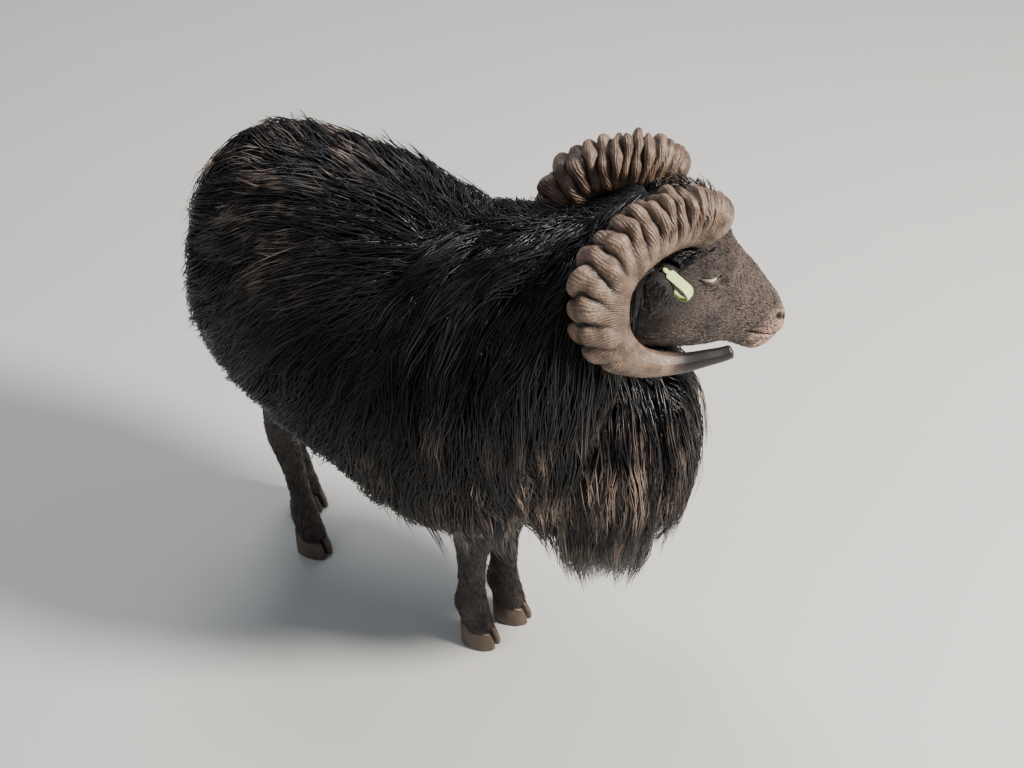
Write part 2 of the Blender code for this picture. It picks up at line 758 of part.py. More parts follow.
def neck_locks(collection):
    """Locks of the mane and of the ruff that hangs before the chest."""
    draw = np.random.default_rng(23)
    spheres = leg_spheres()[:16] + horn_spheres() + head_spheres()
    chest = CHEST_CUT_POINT, unit(CHEST_CUT_NORMAL)
    locks = []
    for tier, (degrees, back, length, droop) in enumerate(NECK_TIERS):
        for column in NECK_COLUMNS:
            for side in (-1, 1):
                at = column + 0.3 * (tier % 2) + draw.uniform(-0.06, 0.06)
                polar = side * math.radians(degrees + draw.uniform(-4, 4))
                root = neck_point(min(at, 3), polar, 0.4)
                behind = (root - chest[0]) @ chest[1] < 0.026
                ahead = (root - HEAD_CUT_POINT) @ unit(HEAD_CUT_NORMAL) > -0.020
                if behind or ahead or at > 3:
                    continue
                width = 0.050 * draw.uniform(0.9, 1.1)
                size = length * draw.uniform(0.9, 1.1)
                lock = grow_lock(
                    neck_point, at, polar, size, width, back, droop, draw, spheres, [chest], collection
                )
                locks.append(lock)
    for tier, (degrees, length) in enumerate(RUFF_TIERS):
        for azimuth in RUFF_AZIMUTHS:
            at = azimuth + 0.45 * (tier % 2) + draw.uniform(-0.1, 0.1)
            polar = math.radians(degrees + draw.uniform(-4, 4))
            root = ruff_point(at, polar, 0.3)
            if (root - chest[0]) @ chest[1] < 0.020:
                continue
            width = 0.058 * draw.uniform(0.9, 1.1)
            size = length * draw.uniform(0.9, 1.12) * (1 - 0.35 * (azimuth / 3.2) ** 2)
            locks.append(
                grow_lock(ruff_point, at, polar, size, width, 0.0, 0.06, draw, spheres, [chest], collection)
            )
    return [lock for lock in locks if lock]


def skull_back_ring():
    """The skull's outline where it meets the neck, a little ahead of the cut between them."""
    normal = unit(HEAD_CUT_NORMAL)
    ring = []
    for i in range(16):
        line = [in_head(*head_point(place, 2 * math.pi * i / 16)) for place in np.linspace(0, 7, 71)]
        ahead = [float((HEAD_CUT_POINT + 0.004 * normal - point) @ normal) for point in line]
        nearest = int(np.argmin(np.abs(ahead)))
        ring.append(line[nearest] + ahead[nearest] / (HEAD_FORWARD @ normal) * HEAD_FORWARD)
    return ring


def make_neck(collection, wool):
    """The neck with its mane and the ruff that hangs before the chest."""
    last = len(NECK_SKIN) - 1
    starts = np.linspace(0, last, 7)[:-1]
    lengths = [
        sum(section_rings(neck_point, (a, min(a + 0.56, last)), CORE_LEVEL, 16), []) for a in starts
    ]
    obj = hull("neck", lengths[0], collection, wool)
    parts = [hull("length", points, collection) for points in lengths[1:]]
    axes = ((1, 0, 0), (0, 1, 0), (0, 0, 1))
    core = RUFF_SKIN + CORE_LEVEL * (RUFF_TIPS - RUFF_SKIN)
    parts.append(ellipsoid("ruff", RUFF_CENTRE, core, axes, collection, 16, 10))
    nape = section_rings(neck_point, (2.5,), CORE_LEVEL, 16)[0] + skull_back_ring()
    parts.append(hull("nape", nape, collection))
    combine(obj, parts, "UNION")
    combine(obj, neck_locks(collection), "UNION")
    back = block("back", CHEST_CUT_POINT + GAP / 2 * unit(CHEST_CUT_NORMAL), -CHEST_CUT_NORMAL, collection)
    rooms = [horn_room(side, collection, 4 * GAP) for side in (-1, 1)]
    rooms += [ear_room(side, collection) for side in (-1, 1)]
    rooms += [ear_pad(side, collection, 0.0008) for side in (-1, 1)]
    rooms += [leg_room(STANCE[name], collection) for name in ("front_right", "front_left")]
    combine(obj, [back, head_room(collection), *rooms], "DIFFERENCE")
    keep_largest_surface(obj)
    shade_round(obj)
    return obj


# The head by sections: forward, top, widest level, bottom, half width, power above, power below
HEAD_SECTIONS = (
    (-0.012, 0.0300, -0.010, -0.052, 0.0360, 2.0, 2.0),
    (0.000, 0.0430, -0.008, -0.064, 0.0405, 2.0, 2.0),
    (0.020, 0.0510, -0.004, -0.073, 0.0430, 2.2, 2.0),
    (0.042, 0.0515, 0.002, -0.092, 0.0430, 2.4, 1.9),
    (0.062, 0.0455, 0.004, -0.099, 0.0425, 2.2, 1.8),
    (0.078, 0.0370, 0.002, -0.100, 0.0405, 2.2, 1.8),
    (0.094, 0.0300, -0.002, -0.094, 0.0360, 2.1, 1.9),
    (0.112, 0.0245, -0.008, -0.085, 0.0315, 2.1, 2.0),
    (0.130, 0.0205, -0.012, -0.074, 0.0280, 2.1, 2.1),
    (0.146, 0.0160, -0.014, -0.060, 0.0255, 2.1, 2.2),
    (0.160, 0.0118, -0.016, -0.055, 0.0240, 2.2, 2.3),
    (0.172, 0.0075, -0.018, -0.053, 0.0232, 2.4, 2.4),
    (0.181, 0.0025, -0.019, -0.050, 0.0218, 2.5, 2.4),
    (0.187, -0.0025, -0.020, -0.043, 0.0185, 2.4, 2.3),
    (0.190, -0.0085, -0.020, -0.031, 0.0095, 2.2, 2.2),
)
HEAD_SIDES = 22
EYE_FORWARD, EYE_OUT, EYE_UP = 0.0640, 0.0310, 0.0015
EYE_SLOPE = math.radians(36)  # the slit between the lids rises forward, so it is level on the bent head
EYE_RADIUS = 0.0112


def head_point(place, angle):
    """A point of the head's skin, in the head's own frame."""
    row = smooth_between(HEAD_SECTIONS, place)[0]
    forward, top, middle, bottom, half_width, power_above, power_below = row
    across, up = oval(angle, half_width, top - middle, middle - bottom, power_above, power_below)
    return np.array((forward, across, middle + up))


def head_place(forward):
    """The fractional section number at a distance forward of the poll."""
    return float(np.interp(forward, [row[0] for row in HEAD_SECTIONS], range(len(HEAD_SECTIONS))))


def make_head(collection, skin):
    """The skull with cheeks, lids, nostrils and the line of the mouth, and flat pads for horns and ears."""
    places = np.linspace(0, len(HEAD_SECTIONS) - 1, 21)
    rings = [
        [in_head(*head_point(place, 2 * math.pi * i / HEAD_SIDES)) for i in range(HEAD_SIDES)]
        for place in places
    ]
    obj = loft("head", rings, collection, skin)
    axes = (HEAD_FORWARD, HEAD_LEFT, HEAD_UP)
    added, cutters = [], []
    for side in (-1, 1):
        eye = in_head(EYE_FORWARD, side * EYE_OUT, EYE_UP)
        lid_axes = (HEAD_FORWARD, HEAD_LEFT, HEAD_UP)
        added.append(
            ellipsoid("lid", eye, (0.0150, EYE_RADIUS + 0.0016, 0.0128), lid_axes, collection, 14, 9)
        )
        added.append(
            ellipsoid(
                "brow",
                in_head(EYE_FORWARD + 0.002, side * 0.0250, EYE_UP + 0.0225),
                (0.022, 0.0095, 0.0085),
                axes,
                collection,
                10,
                6,
            )
        )
        added.append(
            ellipsoid(
                "cheek",
                in_head(0.062, side * 0.027, -0.030),
                (0.036, 0.0135, 0.027),
                axes,
                collection,
                12,
                7,
            )
        )
        cutters.append(
            ellipsoid("socket", eye, [EYE_RADIUS + GAP] * 3, axes, collection, 14, 9)
        )
        slope, rise = math.cos(EYE_SLOPE), math.sin(EYE_SLOPE)
        slit_axes = (
            slope * HEAD_FORWARD + rise * HEAD_UP,
            HEAD_LEFT,
            slope * HEAD_UP - rise * HEAD_FORWARD,
        )
        slit = in_head(EYE_FORWARD, side * (EYE_OUT + 0.012), EYE_UP - 0.0008)
        cutters.append(ellipsoid("slit", slit, (0.0108, 0.012, 0.0038), slit_axes, collection, 14, 8))
        inward = unit(HEAD_FORWARD * 0.75 - HEAD_LEFT * side * 0.35 + HEAD_UP * 0.08)
        flat = unit(np.cross(inward, HEAD_UP))
        nostril_axes = (inward, flat, np.cross(flat, inward))
        nostril = in_head(0.1775, side * 0.0180, -0.0040)
        cutters.append(
            ellipsoid("nostril", nostril, (0.0075, 0.0050, 0.0022), nostril_axes, collection, 12, 8)
        )
    cutters.append(mouth_cutter(collection))
    pads, ear_pads = horn_and_ear_pads(collection)
    combine(obj, added + pads, "UNION")
    cut = block("cut", HEAD_CUT_POINT + GAP / 2 * unit(HEAD_CUT_NORMAL), -HEAD_CUT_NORMAL, collection)
    combine(obj, cutters + [cut], "DIFFERENCE")
    combine(obj, ear_pads, "UNION")
    for side in (-1, 1):
        combine(obj, [horn_room(side, collection, GAP)], "DIFFERENCE")
    keep_largest_surface(obj)
    shade_round(obj)
    return obj


MOUTH_LINE = ((0.198, -0.0150), (0.187, -0.0195), (0.176, -0.0245), (0.166, -0.0290), (0.155, -0.0325))


def mouth_cutter(collection):
    """A thin wedge round the muzzle that cuts the line of the mouth."""
    rings = []
    reach = 0.030
    for forward, up in MOUTH_LINE:
        depth = 0.0022
        place = head_place(min(forward, 0.1895))
        half = smooth_between(HEAD_SECTIONS, place)[0][4]
        rings.append((forward, up, max(half - depth, 0.004)))
    cutters = []
    for side in (-1, 1):
        sections = []
        for f, u, half in rings:
            sections.append(
                [
                    in_head(f, side * half, u),
                    in_head(f, side * reach, u + 0.0032),
                    in_head(f, side * reach, u - 0.0032),
                ]
            )
        cutters.append(loft("mouth", sections, collection))
    front = []
    for side in (-1, -0.5, 0, 0.5, 1):
        y = side * 0.024
        front.append(
            [
                in_head(0.1860, y, -0.0200),
                in_head(0.2040, y, -0.0120),
                in_head(0.2040, y, -0.0175),
            ]
        )
    cutters.append(loft("mouth_front", front, collection))
    base = cutters[0]
    combine(base, cutters[1:], "UNION")
    return base


# The right horn's axis in the head's level frame, from its base: back, outward and up, with its
# half width in the plane of the curl
HORN_BASE = np.array((0.0195, 0.0375, 0.0430))
HORN_CURL = (
    # turn in degrees, radius, outward, half size in the plane, half thickness
    (36, 0.0790, 0.0000, 0.0262, 0.0200),
    (47, 0.0725, 0.0018, 0.0266, 0.0205),
    (63, 0.0622, 0.0060, 0.0272, 0.0205),
    (80, 0.0545, 0.0115, 0.0277, 0.0205),
    (102, 0.0492, 0.0190, 0.0280, 0.0205),
    (128, 0.0480, 0.0275, 0.0282, 0.0200),
    (155, 0.0492, 0.0370, 0.0276, 0.0195),
    (180, 0.0490, 0.0468, 0.0256, 0.0185),
    (205, 0.0488, 0.0545, 0.0222, 0.0168),
    (230, 0.0480, 0.0592, 0.0180, 0.0143),
    (253, 0.0485, 0.0618, 0.0140, 0.0118),
    (275, 0.0507, 0.0640, 0.0110, 0.0098),
    (294, 0.0558, 0.0662, 0.0092, 0.0084),
    (311, 0.0638, 0.0688, 0.0078, 0.0072),
    (325, 0.0770, 0.0710, 0.0064, 0.0060),
)
LEFT_HORN_BACK = 0.0125
LEFT_HORN_REACH = 0.71  # the left horn reaches back less than the right one
HORN_CENTRE = np.array((-0.0600, -0.0480))  # of the curl, back and down from the base
HORN_SIDES = 12
HORN_RIDGES = 15
HORN_SPLITS = (4.2, 8.0)  # fractional rows of HORN_CURL where a horn is cut into lengths


def horn_axis(place, side):
    """(centre, half size, half thickness) of a horn at a fractional row of HORN_CURL."""
    turn, radius, outward, half, thick = smooth_between(HORN_CURL, place)[0]
    angle = math.radians(turn)
    back = (HORN_CENTRE[0] + radius * math.cos(angle)) * (LEFT_HORN_REACH if side > 0 else 1.0)
    rise = HORN_CENTRE[1] + radius * math.sin(angle)
    behind = LEFT_HORN_BACK if side > 0 else 0.0
    base = in_head(HORN_BASE[0] - behind, side * HORN_BASE[1], HORN_BASE[2])
    centre = base + back * LEVEL_FORWARD + side * outward * HEAD_LEFT + np.array((0, 0, rise))
    return centre, half, thick


def horn_frame(place, side):
    """The horn's direction, its outward radius and its lateral axis at a place."""
    step = 0.05
    behind, _, _ = horn_axis(max(place - step, 0), side)
    beyond, _, _ = horn_axis(min(place + step, len(HORN_CURL) - 1), side)
    along = unit(beyond - behind)
    radial = unit(np.cross(along, HEAD_LEFT))
    return along, radial, np.cross(along, radial)


def ridge_height(place):
    """Height of the ridges: low at the base, strong along the top and back, none at the tip."""
    share = place / (len(HORN_CURL) - 1)
    return 0.0030 * min(1.0, share * 7 + 0.25) * max(0.0, min(1.0, (0.68 - share) / 0.25))


def horn_ring(place, side, swell=0.0, extra=0.0):
    """One ring of a horn, widened by its ridge on the outer side and by an even extra."""
    centre, half, thick = horn_axis(place, side)
    _, radial, lateral = horn_frame(place, side)
    ring = []
    for i in range(HORN_SIDES):
        angle = 2 * math.pi * i / HORN_SIDES
        out, across = math.cos(angle), math.sin(angle)
        more = extra + swell * (0.35 + 0.65 * max(0.0, (out + 0.6) / 1.6))
        ring.append(centre + (half + more) * out * radial + (thick + more) * across * lateral)
    return ring


def make_horn(name, side, collection, horn):
    """A curled horn in three lengths, with ridges out to the start of the tip."""
    last = len(HORN_CURL) - 1
    ridged_to = 9.0
    places = [ridged_to * i / (2 * HORN_RIDGES) for i in range(2 * HORN_RIDGES + 1)]
    places += list(np.linspace(ridged_to, last, 8))[1:]
    bounds = (0, *HORN_SPLITS, last)
    for index, label in enumerate(("base", "middle", "tip")):
        start, end = bounds[index], bounds[index + 1]
        inside = [p for p in places if start + 0.06 < p < end - 0.06]
        rings = []
        for place in (start, *inside, end):
            number = int(round(place / ridged_to * 2 * HORN_RIDGES))
            on_ridge = place <= ridged_to and number % 2 == 1
            swell = ridge_height(place) * (1 if on_ridge else -0.35)
            rings.append(horn_ring(place, side, swell))
        if index:
            along, _, _ = horn_frame(start, side)
            rings[0] = [p + GAP * along for p in rings[0]]
        obj = loft(f"horn_{name}_{label}", rings, collection, horn)
        shade_round(obj, 50)


EAR_ROOT = (0.0125, 0.0500, -0.0075)
EAR_AXIS = (-0.30, 0.76, -0.55)  # back, outward and down, in the head's frame
LEFT_EAR_AXIS = (0.20, 0.70, -0.68)
EAR_LENGTH = 0.062
EAR_PAD_INSIDE = (0.040, 0.024, -0.010)  # where an ear's stump starts, inside the skull
EAR_HALF_WIDTH = 0.0140
EAR_WALL = 0.0024


def head_vector(forward, left, up):
    """A direction of the head's own frame, in the ram's frame."""
    return forward * HEAD_FORWARD + left * HEAD_LEFT + up * HEAD_UP


def ear_frame(side):
    """The ear's root, its axis, its width direction and the side its cup opens to."""
    root = in_head(EAR_ROOT[0], side * EAR_ROOT[1], EAR_ROOT[2])
    back, out, down = LEFT_EAR_AXIS if side > 0 else EAR_AXIS
    axis = unit(head_vector(back, side * out, down))
    opening = head_vector(0.39, -side * 0.42, -0.82)
    opening = unit(opening - (opening @ axis) * axis)
    return root, axis, np.cross(axis, opening) * side, opening


def ear_ring(side, share, sides_out=7):
    """A crescent section of the ear at a share of its length."""
    root, axis, width, opening = ear_frame(side)
    spread = (0.42, 0.72, 0.93, 1.0, 0.96, 0.82, 0.58, 0.20)
    size = EAR_HALF_WIDTH * float(np.interp(share, np.linspace(0, 1, len(spread)), spread))
    cup = 0.42 * (1 - 0.6 * share)
    wall = EAR_WALL * (1 - 0.45 * share) + 0.005 * max(0.0, 0.18 - share)
    centre = root + axis * (EAR_LENGTH * share) - opening * 0.010 * share**2
    outer, inner = [], []
    for i in range(sides_out):
        t = -1 + 2 * i / (sides_out - 1)
        bend = cup * size * (1 - t * t)
        outer.append(centre + width * size * t - opening * (bend + wall * (1 - t * t)))
        if 0 < i < sides_out - 1:
            inner.append(centre + width * size * t * 0.94 - opening * bend + opening * 0.0004)
    return outer + inner[::-1]


def make_ear(name, side, collection, skin):
    """A cupped ear that starts at the flat end of its pad."""
    shares = (0.0, 0.12, 0.27, 0.42, 0.57, 0.72, 0.86, 1.0)
    obj = loft("ear_" + name, [ear_ring(side, s) for s in shares], collection, skin)
    shade_round(obj)


TAG_LENGTH, TAG_STRAP, TAG_SPREAD = 0.033, 0.0014, 0.0076
TAG_PANEL, TAG_TAIL = 0.0112, 0.0048  # widths of the upper leaf and of the lower one
TAG_PLACE = 0.15  # share of the ear's length
TAG_BACK, TAG_LIFT = 0.0040, 0.0004  # from the ear's middle line to its back rim, and off its back


def make_ear_tag(collection, plastic):
    """A plastic loop round the right ear: a wide leaf on the ear's back and a narrow one under it."""
    root, axis, width, opening = ear_frame(-1)
    middle = root + axis * EAR_LENGTH * TAG_PLACE - opening * 0.010 * TAG_PLACE**2
    start = middle + TAG_BACK * width - TAG_LIFT * opening
    out = head_vector(0.76, -0.634, -0.06)
    out = unit(out - (out @ opening) * opening)
    across, along_ear = opening, np.cross(out, opening)
    bend = TAG_LENGTH - TAG_SPREAD
    path = [(0.0, -TAG_SPREAD, TAG_TAIL), (0.0055, -TAG_SPREAD, TAG_TAIL), (0.0075, -TAG_SPREAD, TAG_PANEL)]
    narrowing = (0, 0, 0.15, 0.4, 0.7, 0.9, 1, 1, 1)
    for a, share in zip(np.linspace(0, math.pi, 9), narrowing):
        wide = TAG_PANEL + share * (TAG_TAIL - TAG_PANEL)
        path.append((bend + TAG_SPREAD * math.sin(a), -TAG_SPREAD * math.cos(a), wide))
    path += [(0.0, TAG_SPREAD, TAG_TAIL)]
    path = np.array(path)
    rings = []
    for k, (along, over, wide) in enumerate(path):
        ahead = unit(path[min(k + 1, len(path) - 1)][:2] - path[max(k - 1, 0)][:2])
        normal = np.array((-ahead[1], ahead[0]))
        corners = []
        for w, t in ((-1, -1), (1, -1), (1, 1), (-1, 1)):
            a, b = np.array((along, over)) + t * TAG_STRAP / 2 * normal
            corners.append(start + a * out + b * across + w * wide / 2 * along_ear)
        rings.append(corners)
    obj = loft("ear_tag", rings, collection, plastic)
    shade_round(obj)


def ear_pad(side, collection, extra=0.0):
    """The stump of an ear, from inside the skull to its flat end, wider by extra."""
    root, axis, width, opening = ear_frame(side)
    rows = []
    inside = in_head(EAR_PAD_INSIDE[0], side * EAR_PAD_INSIDE[1], EAR_PAD_INSIDE[2])
    for centre, size in ((inside, 0.0115 + extra), (root - axis * GAP - opening * 0.002, 0.0082 + extra)):
        rows.append(
            [
                centre + size * math.cos(a) * width + (0.75 * size + 0.25 * extra) * math.sin(a) * opening
                for a in np.linspace(0, 2 * math.pi, 11)[:-1]
            ]
        )
    return loft("ear_pad", rows, collection)


def horn_and_ear_pads(collection):
    """Short stumps on the skull with flat ends, for horns and for ears."""
    pads, ear_pads = [], []
    for side in (-1, 1):
        along, _, _ = horn_frame(0, side)
        ring = horn_ring(0, side)
        middle = sum(ring) / len(ring)
        end = [middle + 1.03 * (p - middle) - GAP * along for p in ring]
        between = [middle + 0.94 * (p - middle) - 0.014 * along - 0.003 * HEAD_UP for p in ring]
        sunk = [middle + 0.66 * (p - middle) - 0.027 * along - 0.009 * HEAD_UP for p in ring]
        pads.append(loft("horn_pad", [sunk, between, end], collection))
        ear_pads.append(ear_pad(side, collection))
    return pads, ear_pads


def make_eyes(collection, eye):
    """Two eyeballs behind their lids."""
    for name, side in (("right", -1), ("left", 1)):
        centre = in_head(EYE_FORWARD, side * EYE_OUT, EYE_UP)
        axes = (HEAD_FORWARD, HEAD_LEFT, HEAD_UP)
        obj = ellipsoid("eye_" + name, centre, [EYE_RADIUS - GAP] * 3, axes, collection, 14, 9)
        obj.data.materials.append(eye)
        shade_round(obj)


def make_tail(collection, wool):
    """A short woolly tail that hangs down the rump."""
    obj = loft("tail", tail_rings(), collection, wool)
    shade_round(obj)


def centre_over_origin(collection):
    """Moves the ram so that its bounding box stands centred on the origin."""
    corners = []
    for obj in collection.objects:
        points = np.empty(len(obj.data.vertices) * 3)
        obj.data.vertices.foreach_get("co", points)
        corners.append(points.reshape(-1, 3).min(0))
        corners.append(points.reshape(-1, 3).max(0))
    corners = np.array(corners)
    middle = (corners.min(0) + corners.max(0)) / 2
    stand = bpy.data.objects.new("ram", None)
    bpy.context.scene.collection.objects.link(stand)
    stand.location = (-middle[0], -middle[1], -corners.min(0)[2])
    for obj in collection.objects:
        obj.parent = stand


def main():
    """Builds the ram."""
    clear_scene()
    ram = collection_named("ouessant_ram")
    wool = finish_of("wool", (0.016, 0.014, 0.016), 0.75)
    skin = finish_of("short_coat", (0.030, 0.020, 0.016), 0.65)
    horn = finish_of("horn", (0.230, 0.150, 0.095), 0.55)
    hoof = finish_of("hoof", (0.060, 0.040, 0.028), 0.60)
    plastic = finish_of("tag_plastic", (0.580, 0.680, 0.160), 0.40)
    eye = finish_of("eye", (0.420, 0.270, 0.080), 0.15)
    make_torso(ram, wool)
    make_neck(ram, wool)
    make_head(ram, skin)
    make_eyes(ram, eye)
    for name, side in (("right", -1), ("left", 1)):
        make_horn(name, side, ram, horn)
        make_ear(name, side, ram, skin)
    make_ear_tag(ram, plastic)
    make_legs(ram, skin, hoof)
    make_tail(ram, wool)
    centre_over_origin(ram)


main()
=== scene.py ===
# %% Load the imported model
import json
import math

import bmesh
import bpy
import numpy as np
from mathutils import Matrix, Vector

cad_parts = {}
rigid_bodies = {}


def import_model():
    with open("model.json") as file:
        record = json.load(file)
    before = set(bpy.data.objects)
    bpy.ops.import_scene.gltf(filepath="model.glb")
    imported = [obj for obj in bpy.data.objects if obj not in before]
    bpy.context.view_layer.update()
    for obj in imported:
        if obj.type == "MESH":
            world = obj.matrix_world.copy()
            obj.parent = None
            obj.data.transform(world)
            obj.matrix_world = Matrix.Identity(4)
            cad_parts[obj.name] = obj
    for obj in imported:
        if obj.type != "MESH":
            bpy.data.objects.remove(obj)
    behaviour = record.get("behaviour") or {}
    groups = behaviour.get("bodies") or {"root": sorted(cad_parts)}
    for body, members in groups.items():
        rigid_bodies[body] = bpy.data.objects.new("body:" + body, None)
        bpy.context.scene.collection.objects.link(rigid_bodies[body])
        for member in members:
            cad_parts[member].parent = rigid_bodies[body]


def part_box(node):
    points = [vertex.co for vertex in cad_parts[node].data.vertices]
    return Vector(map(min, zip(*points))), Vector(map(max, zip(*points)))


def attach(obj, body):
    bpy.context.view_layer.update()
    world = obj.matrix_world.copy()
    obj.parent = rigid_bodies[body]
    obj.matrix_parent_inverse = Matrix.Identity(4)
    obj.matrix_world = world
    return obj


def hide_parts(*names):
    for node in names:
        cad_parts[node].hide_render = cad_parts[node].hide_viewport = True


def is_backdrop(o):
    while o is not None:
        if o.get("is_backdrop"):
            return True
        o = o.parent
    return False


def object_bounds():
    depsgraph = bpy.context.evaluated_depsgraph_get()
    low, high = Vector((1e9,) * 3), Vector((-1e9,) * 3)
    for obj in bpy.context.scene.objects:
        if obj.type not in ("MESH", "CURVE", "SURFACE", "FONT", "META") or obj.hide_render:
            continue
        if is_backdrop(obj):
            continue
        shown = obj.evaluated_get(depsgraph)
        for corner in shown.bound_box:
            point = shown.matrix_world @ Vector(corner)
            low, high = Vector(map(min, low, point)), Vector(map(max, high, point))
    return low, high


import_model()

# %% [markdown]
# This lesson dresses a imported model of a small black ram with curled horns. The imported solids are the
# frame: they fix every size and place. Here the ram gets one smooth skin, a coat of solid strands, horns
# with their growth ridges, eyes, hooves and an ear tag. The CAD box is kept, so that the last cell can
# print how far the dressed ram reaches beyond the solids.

UPWARD = np.array((0, 0, 1.0))
cad_box = [list(map(float, corner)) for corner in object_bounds()]
print("CAD box", cad_box)


def deselect():
    """Leaves nothing selected, in object mode."""
    if bpy.context.object and bpy.context.object.mode != "OBJECT":
        bpy.ops.object.mode_set(mode="OBJECT")
    bpy.ops.object.select_all(action="DESELECT")


def select_only(obj):
    """Makes one object the only selected and active one."""
    deselect()
    obj.select_set(True)
    bpy.context.view_layer.objects.active = obj


def unit(vector):
    """The vector, or each row of an array, at length one."""
    vector = np.asarray(vector, float)
    return vector / np.maximum(np.linalg.norm(vector, axis=-1, keepdims=True), 1e-9)


def full_turn(count):
    """Angles spread evenly round a circle."""
    return np.linspace(0, 2 * math.pi, count + 1)[:-1]


def triangles(obj):
    """How many triangles an object's mesh has."""
    return sum(len(face.vertices) - 2 for face in obj.data.polygons)


def add_object(name, data):
    """A new object in the scene for a mesh, a camera or a lamp."""
    obj = bpy.data.objects.new(name, data)
    bpy.context.scene.collection.objects.link(obj)
    return obj


def sphere(radius, segments, rings):
    """A ball at the origin."""
    bpy.ops.mesh.primitive_uv_sphere_add(segments=segments, ring_count=rings, radius=radius)
    return bpy.context.object


def placed(place, axes=np.eye(3)):
    """The matrix that turns a form to three axes and moves it to a place."""
    return Matrix.Translation(Vector(place)) @ Matrix(np.column_stack(axes).tolist()).to_4x4()


def smooth(obj, degrees=None):
    """Shades an object smooth, all over or only where its faces meet below an angle."""
    select_only(obj)
    if degrees is None:
        bpy.ops.object.shade_smooth()
    else:
        bpy.ops.object.shade_smooth_by_angle(angle=math.radians(degrees))


# %% [markdown]
# The ram's forms are written as a few sections that are read smoothly in between, as on a boat builder's
# plan. Each form has a skin and the level of its wool tips, so that any strand can be told where it is by
# a place along the form, an angle round it and a level between skin and tips. The head has its own frame:
# forward to the nose, left, and up. The rows are the same as those of the solids.

# %% Sections of trunk, neck and ruff
TRUNK_SKIN = (  # x, centre height, half width, height above and below the centre
    (-0.194, 0.388, 0.010, 0.010, 0.010),
    (-0.188, 0.388, 0.036, 0.040, 0.036),
    (-0.170, 0.382, 0.060, 0.072, 0.058),
    (-0.136, 0.371, 0.080, 0.096, 0.074),
    (-0.078, 0.359, 0.095, 0.106, 0.082),
    (-0.010, 0.352, 0.102, 0.111, 0.086),
    (0.054, 0.348, 0.100, 0.115, 0.090),
    (0.104, 0.350, 0.090, 0.112, 0.096),
    (0.155, 0.345, 0.070, 0.090, 0.085),
    (0.181, 0.340, 0.040, 0.050, 0.050),
    (0.192, 0.340, 0.010, 0.010, 0.010),
)
TRUNK_TIPS = (
    (-0.221, 0.382, 0.014, 0.014, 0.014),
    (-0.214, 0.380, 0.056, 0.070, 0.050),
    (-0.196, 0.374, 0.080, 0.124, 0.084),
    (-0.158, 0.364, 0.110, 0.168, 0.104),
    (-0.088, 0.350, 0.138, 0.190, 0.088),
    (-0.012, 0.342, 0.153, 0.190, 0.080),
    (0.058, 0.334, 0.157, 0.184, 0.092),
    (0.110, 0.330, 0.150, 0.172, 0.136),
    (0.178, 0.330, 0.125, 0.140, 0.125),
    (0.215, 0.325, 0.080, 0.090, 0.100),
    (0.232, 0.325, 0.015, 0.015, 0.015),
)
NECK_SKIN = (  # centre, yaw, lean of the section, half width, height above and below
    (0.090, 0.000, 0.362, 0, -22, 0.085, 0.100, 0.110),
    (0.145, 0.008, 0.405, 12, -14, 0.066, 0.088, 0.105),
    (0.195, 0.030, 0.458, 30, -2, 0.052, 0.070, 0.085),
    (0.236, 0.060, 0.512, 52, 12, 0.044, 0.052, 0.060),
)
NECK_TIPS = (
    (0.090, 0.000, 0.350, 0, -22, 0.150, 0.160, 0.150),
    (0.150, 0.008, 0.385, 12, -14, 0.140, 0.148, 0.176),
    (0.208, 0.032, 0.440, 30, -2, 0.115, 0.105, 0.200),
    (0.240, 0.066, 0.505, 52, 12, 0.070, 0.064, 0.090),
)
RUFF_YAW = math.radians(20)
RUFF_CENTRE = np.array((0.222, 0.056, 0.296))
RUFF_SKIN = np.array((0.035, 0.050, 0.080))
RUFF_TIPS = np.array((0.104, 0.116, 0.142))
RUMP_CENTRE = np.array((-0.132, 0.0, 0.388))
RUMP_SKIN = np.array((0.058, 0.080, 0.078))
RUMP_TIPS = np.array((0.088, 0.126, 0.168))
print(len(TRUNK_SKIN), "sections for the trunk and", len(NECK_SKIN), "for the neck")

# %% Sections of the tail and the legs
TAIL_ROOT = np.array((-0.2300, 0.0, 0.416))
TAIL_AXIS = unit((-0.12, 0.0, -0.99))
TAIL_BEND = (  # along, ahead, half width, half thickness
    (0.000, 0.000, 0.018, 0.0090),
    (0.020, 0.000, 0.022, 0.0100),
    (0.050, 0.002, 0.023, 0.0100),
    (0.080, 0.008, 0.020, 0.0090),
    (0.105, 0.018, 0.013, 0.0070),
    (0.120, 0.026, 0.004, 0.0030),
)
FRONT_LEG = (  # forward, outward, height, half length, half width
    (-0.010, 0.006, 0.300, 0.040, 0.034),
    (-0.006, 0.005, 0.240, 0.032, 0.026),
    (-0.004, 0.004, 0.196, 0.026, 0.021),
    (0.000, 0.002, 0.168, 0.021, 0.0185),
    (0.002, 0.001, 0.150, 0.0205, 0.0185),
    (0.003, 0.000, 0.136, 0.0195, 0.0175),
    (0.001, 0.000, 0.118, 0.0160, 0.0145),
    (0.000, 0.000, 0.080, 0.0150, 0.0135),
    (-0.001, 0.000, 0.060, 0.0175, 0.0155),
    (-0.001, 0.000, 0.048, 0.0190, 0.0165),
    (0.004, 0.000, 0.036, 0.0175, 0.0160),
    (0.008, 0.000, 0.022, 0.0178, 0.0168),
)
